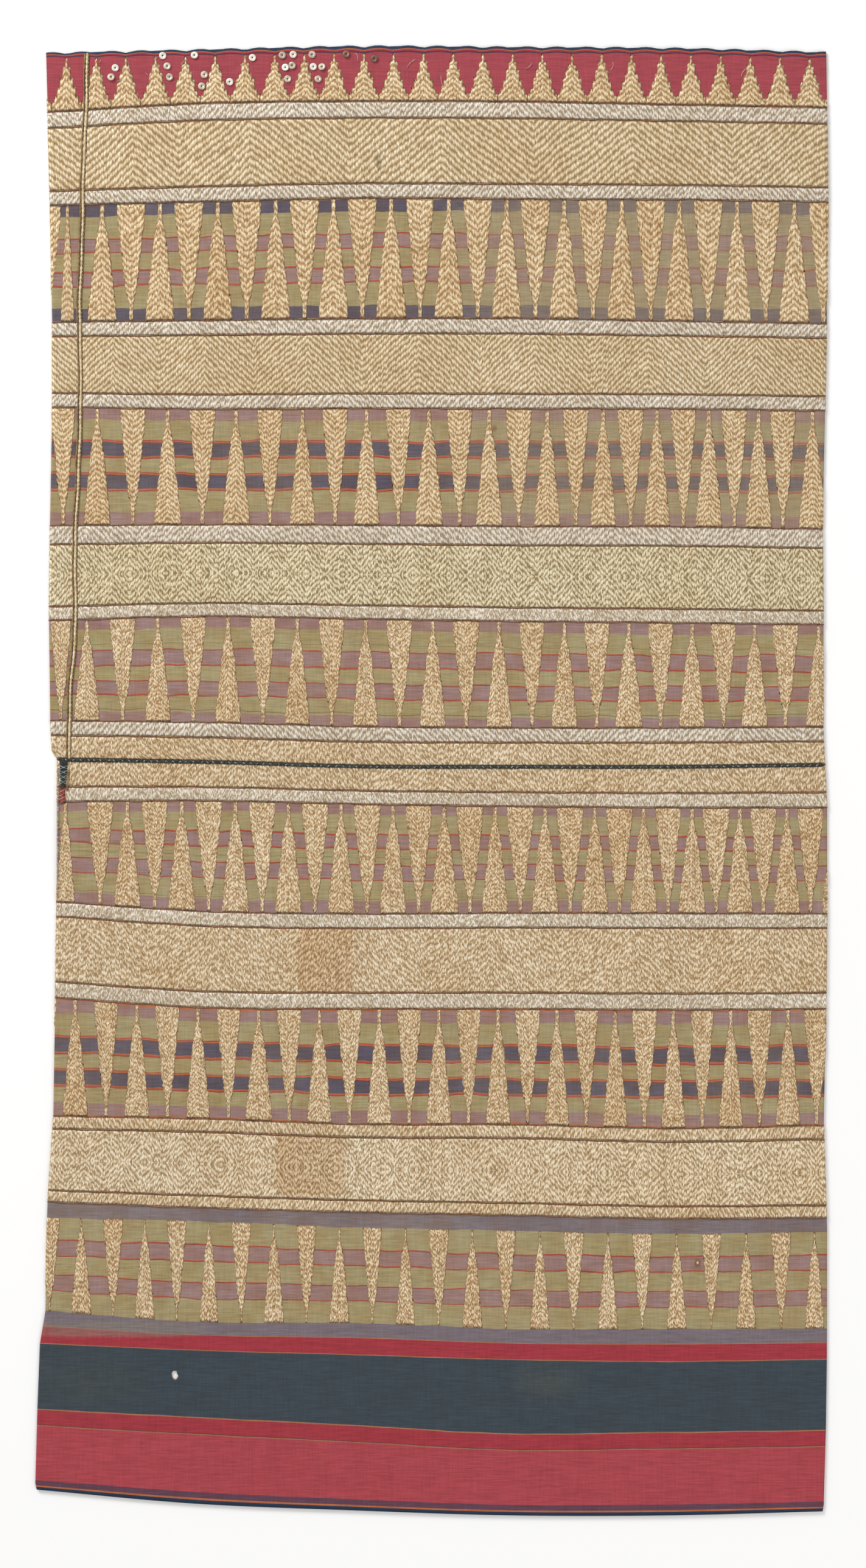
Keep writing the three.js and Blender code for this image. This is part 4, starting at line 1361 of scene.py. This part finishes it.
def border_lines(names):
    """The level of each line where a band or one of its parts starts or ends."""
    levels = set()
    for name in names:
        top, bottom, parts = BANDS[name]
        first, last = LEVEL[top], LEVEL[bottom]
        for part in parts:
            levels |= {round(float(level_of(share, first, last)), 4) for share in part[:2]}
    join = LEVEL["join"]
    return sorted(level for level in levels if abs(level - join) > 0.1)


for name, bands in (
    ("border_cords_upper", ["band_1", "band_2", "band_3", "band_4_upper"]),
    ("border_cords_lower", ["band_4_lower", "band_5", "band_6"]),
):
    levels = border_lines(bands)
    paths = [ring_path(level, 0.4 * MM, 0.15 * MM) for level in levels]
    mesh = thread_mesh(name, paths, 0.28 * MM, closed=True)
    finished(mesh, name, BORDER_THREAD)
    print(name, len(paths), "cords,", len(mesh.polygons), "faces")

# %% [markdown]
# The upper panel's seam is hidden by a pale cord of two gold threads lightly twisted. Beside it on
# the left run an olive cord and a thinner gold one, and an olive thread with small stitches holds it
# on the right.

# %% Seam cords
SEAM_LINE = [(620, -285.8), (472.2, -290.4), (386.1, -292.7), (300, -291.6), (219, -296.0),
             (117.7, -296.6), (69.1, -300.8), (0, -302.4)]


def seam_at(y):
    """The x of the seam, in mm."""
    line = sorted(SEAM_LINE)
    heights, places = zip(*line)
    smooth = [np.interp(y + shift, heights, places) for shift in (-14, 0, 14)]
    return sum(smooth) / 3 + 0.35 * np.sin(y / 17) + 0.2 * np.sin(y / 7.3)


def beside_seam(offset, lift, step, low=18.5, high=604.5):
    y = np.arange(low, high, step)
    return on_front(seam_at(y) + offset, y, lift)


def plied(middle, spread, pitch, strands=2, slant=0.6):
    """Strands that twist round a line of points."""
    length = np.concatenate([[0], np.cumsum(np.linalg.norm(np.diff(middle, axis=0), axis=1))])
    paths = []
    for strand in range(strands):
        angle = 2 * math.pi * (length / pitch + strand / strands)
        offset = np.stack([np.cos(angle), 0 * angle, slant * np.sin(angle)], axis=-1)
        paths.append(middle + spread * offset)
    return paths


strands = plied(beside_seam(0.2, 0.85 * MM, 0.9), spread=0.34 * MM, pitch=8 * MM)
main_cord = thread_mesh("seam_cord", strands, 0.74 * MM)
side_cord = thread_mesh("side_cord", [beside_seam(-2.2, 0.6 * MM, 2.4)], 0.42 * MM)
olive_paths = [beside_seam(offset, 0.5 * MM, 2.6) for offset in (-1.35, 1.6)]
olive_cord = thread_mesh("olive_cord", olive_paths, 0.44 * MM)
held = np.arange(20, 603, 3.1)
held_x = seam_at(held) + 1.3
small_stitches = [
    on_front(np.array([x - 0.3, x + 0.35]), np.array([y - 0.5, y + 0.5]), 0.62 * MM)
    for x, y in zip(held_x, held)
]
right_stitches = thread_mesh("right_stitches", small_stitches, 0.3 * MM)
seam = joined(
    "seam_cord_pair",
    [main_cord, side_cord, olive_cord, right_stitches],
    [CORD_GOLD, DULL_CORD, OLIVE_THREAD, CORD_GOLD],
)
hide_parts("seam_cords")
print("seam:", len(seam.data.polygons), "faces")

# %% [markdown]
# The two panels meet under a dark braid with a pale stitch every few millimetres. At the left corner
# it turns down the lower panel's seam as dense dark and then red stitches, crossed by pale threads.

# %% Join braid
FRONT_WIDTH = 640
BRAID_TURN = 6.2
FLECK_STEP = 5.9
front_around = np.linspace(0.004, 0.996, 460)
rest_around = np.linspace(1.0, 2.0, 50)
turn = front_around * FRONT_WIDTH / BRAID_TURN * 2 * math.pi
level = LEVEL["join"] + 0.0025 * np.sin(front_around * 47) + 0.001 * np.sin(front_around * 150)
thick = np.interp(front_around, [0, 0.1, 0.22, 1], [1.5, 1.35, 1.05, 0.95])
strands = []
for strand in range(2):
    swing = turn + strand * math.pi
    path = on_skirt(front_around, level, 0.6 * MM + 0.3 * MM * np.sin(swing))
    path[:, 1] += (0.75 * np.cos(swing) - 0.4) * thick * MM
    behind = on_skirt(rest_around, np.full(50, float(LEVEL["join"])), np.full(50, -0.1 * MM))
    strands.append(np.concatenate([path, behind]))
braid = thread_mesh("braid", strands, 0.86 * MM, closed=True)
knots = []
for share in np.arange(0.012, 0.992, FLECK_STEP / FRONT_WIDTH):
    share = share + chance.normal(0, 0.0011)
    step = share + np.array([-0.0013, 0, 0.0014]) * chance.uniform(0.6, 1.1)
    knot = on_skirt(step, np.full(3, float(LEVEL["join"])), np.array([1.3, 1.6, 1.3]) * MM)
    knot[:, 1] += (np.array([-0.5, 0.0, 0.45]) * chance.choice([-1, 1]) - 0.4) * MM
    knots.append(knot)
flecks = thread_mesh("flecks", knots, 0.32 * MM)
join = joined("join_stitches", [braid, flecks], [DARK_THREAD, FLECK_THREAD])
print("join:", len(knots), "pale stitches,", len(join.data.polygons), "faces")


# %% Corner stitches
def laced(lefts, rights, high, low, step, lift, lean=0.6):
    """Stitches across a narrow strip, from top to bottom. lefts and rights hold an x for each end
    of the strip."""
    stitches = []
    for y in np.arange(high, low, -step):
        share = (high - y) / (high - low)
        x = np.array([side[0] + share * (side[1] - side[0]) for side in (lefts, rights)])
        over = lift + chance.normal(0, 0.08 * MM)
        stitches.append(on_front(x, y + np.array([-lean, lean]) / 2, over))
    return stitches


wide, narrow = (-309.2, -308.4), (-302.4, -304.6)
dark = thread_mesh("dark", laced(wide, narrow, 15.5, -5.8, 0.8, 0.95 * MM, 0.3), 0.5 * MM)
rising = laced(wide, narrow, 11, -5, 4.1, 1.5 * MM, 3)
falling = laced(wide, narrow, 11, -5, 4.1, 1.6 * MM, -3)
pale = thread_mesh("pale", rising + falling, 0.22 * MM)
red = thread_mesh("red", laced((-309.5,) * 2, (-304.7,) * 2, -6.4, -19, 0.8, 0.95 * MM, 0.3), 0.48 * MM)
crossing = laced((-309.3,) * 2, (-305,) * 2, -8.5, -18, 3, 1.5 * MM, 2.4)
pale_red = thread_mesh("pale_red", crossing, 0.22 * MM)
along_edge = laced((-311.4, -311.7), (-309.8, -310.4), 10, -98, 1.2, 0.7 * MM)
edging = thread_mesh("edging", along_edge, 0.46 * MM)
ochre = thread_mesh("ochre", laced((-302, -304), (-300.6, -302.4), 9, -8.5, 0.95, 0.8 * MM), 0.5 * MM)
corner = joined(
    "corner_stitches",
    [dark, pale, red, pale_red, edging, ochre],
    [DARK_THREAD, FLECK_THREAD, RED_THREAD, PALE_THREAD, EDGE_THREAD, DULL_CORD],
)
print("corner:", len(corner.data.polygons), "faces")

# %% [markdown]
# ## Sequins and loose threads
# Small dished sequins are sewn on the red ground of the waist between the triangles. Some are bright
# and some tarnished. Each is a flat ring with a raised middle, given its thickness by solidify and
# set down with its own slight tilt. A few pale threads have come loose from sequins now lost.

# %% Sequins
SEQUINS = [
    # x, y in mm, tarnished
    (-263.1, 592.2, 0), (-266.6, 584.6, 1), (-223.6, 602.3, 0), (-220.0, 593.7, 1), (-218.0, 584.6, 1),
    (-197.3, 602.8, 0), (-189.1, 586.6, 1), (-191.2, 577.0, 1), (-167.9, 580.5, 0), (-149.1, 600.8, 0),
    (-124.3, 602.8, 1), (-115.2, 603.3, 0), (-121.8, 592.7, 0), (-116.2, 594.2, 1), (-119.8, 583.1, 1),
    (-99.5, 603.3, 1), (-98.5, 593.2, 0), (-91.4, 593.2, 1), (-94.4, 583.1, 1), (-71.1, 603.8, 2),
    (-47.9, 599.8, 2),
]


def sequin(x, y):
    """One ring on the cloth, 6 mm across with a 1.3 mm hole."""
    bm = bmesh.new()
    outer = bmesh.ops.create_circle(bm, segments=18, radius=3.0 * MM)["verts"]
    middle = bmesh.ops.create_circle(bm, segments=18, radius=2.0 * MM)["verts"]
    inner = bmesh.ops.create_circle(bm, segments=18, radius=0.65 * MM)["verts"]
    for vert in middle:
        vert.co.z = -0.08 * MM
    for vert in inner:
        vert.co.z = -0.16 * MM
    rim = {edge for vert in outer for edge in vert.link_edges}
    waist = {edge for vert in middle for edge in vert.link_edges}
    hole = {edge for vert in inner for edge in vert.link_edges}
    bmesh.ops.bridge_loops(bm, edges=list(rim | waist))
    bmesh.ops.bridge_loops(bm, edges=list(waist | hole))
    bmesh.ops.recalc_face_normals(bm, faces=bm.faces)
    if sum(face.normal.z for face in bm.faces) < 0:
        bmesh.ops.reverse_faces(bm, faces=bm.faces)
    bmesh.ops.solidify(bm, geom=bm.faces, thickness=0.18 * MM)
    about_x, about_y = chance.normal(0, 0.07, 2)
    tilt = Matrix.Rotation(about_x, 3, "X") @ Matrix.Rotation(about_y, 3, "Y")
    bmesh.ops.rotate(bm, verts=bm.verts, cent=(0, 0, 0), matrix=tilt)
    place = on_front(np.array([x]), np.array([y]), 1.15 * MM)[0]
    bmesh.ops.translate(bm, verts=bm.verts, vec=place)
    return mesh_from(bm, "sequin")


def sequin_finish(name, base, dark, amount):
    """Thin tinned metal, duller and darker in patches."""
    made, tree, shader = new_finish(name, metallic=0.35)
    worn = placed(tree, "clouds", Scale=330.0, Amount=amount, Edge=0.1)["Mask"]
    shown = blend_colours(tree, worn, colour(*base), colour(*dark))
    tree.links.new(shown, shader.inputs["Base Color"])
    rough = maths(tree, "MULTIPLY_ADD", worn, 0.3, 0.35)
    tree.links.new(rough, shader.inputs["Roughness"])
    raise_surface(tree, shader, worn, 0.05 * MM, 0.4)
    return made


SEQUIN_FINISHES = [
    sequin_finish("bright_sequin", (250, 244, 232), (214, 204, 184), 0.7),
    sequin_finish("tarnished_sequin", (226, 214, 192), (160, 152, 132), 0.8),
    sequin_finish("dull_sequin", (132, 100, 82), (96, 80, 64), 0.8),
]
meshes = [sequin(x, y) for x, y, _ in SEQUINS]
finishes = [SEQUIN_FINISHES[kind] for _, _, kind in SEQUINS]
sequins = joined("sequins", meshes, finishes)
print("sequins:", len(SEQUINS), "with", len(sequins.data.polygons), "faces")

# %% Loose threads
LOOSE = [
    # x, y, length in mm, direction in degrees, curl
    (-252, 589, 9, 80, 0.5), (-262, 582, 6, 330, 1.4), (-277, 596, 4, 40, 0.6), (-181, 590, 8, 20, -1.6),
    (-236, 586, 3, 120, 0.4), (-62, 596, 11, 75, 0.9), (-12, 600, 13, 200, 0.8), (8, 588, 16, 262, 0.7),
    (84, 598, 10, 250, -0.9), (148, 590, 8, 40, 1.1), (217, 596, 7, 300, -0.8), (262, 592, 9, 210, 0.9),
    (-205, 598, 5, 200, 0.9), (-160, 596, 5, 320, -0.7),
]
paths = []
for x, y, length, direction, curl in LOOSE:
    step = np.linspace(0, 1, 9)
    angle = math.radians(direction) + curl * step
    path_x = x + np.cumsum(np.cos(angle)) * length / 9
    path_y = np.minimum(y + np.cumsum(np.sin(angle)) * length / 9, 604)
    paths.append(on_front(path_x, path_y, (0.3 + 0.6 * np.sin(step * math.pi)) * MM))
loose = thread_mesh("loose_threads", paths, 0.17 * MM)
finished(loose, "loose_threads", PALE_THREAD)
print("loose threads:", len(paths))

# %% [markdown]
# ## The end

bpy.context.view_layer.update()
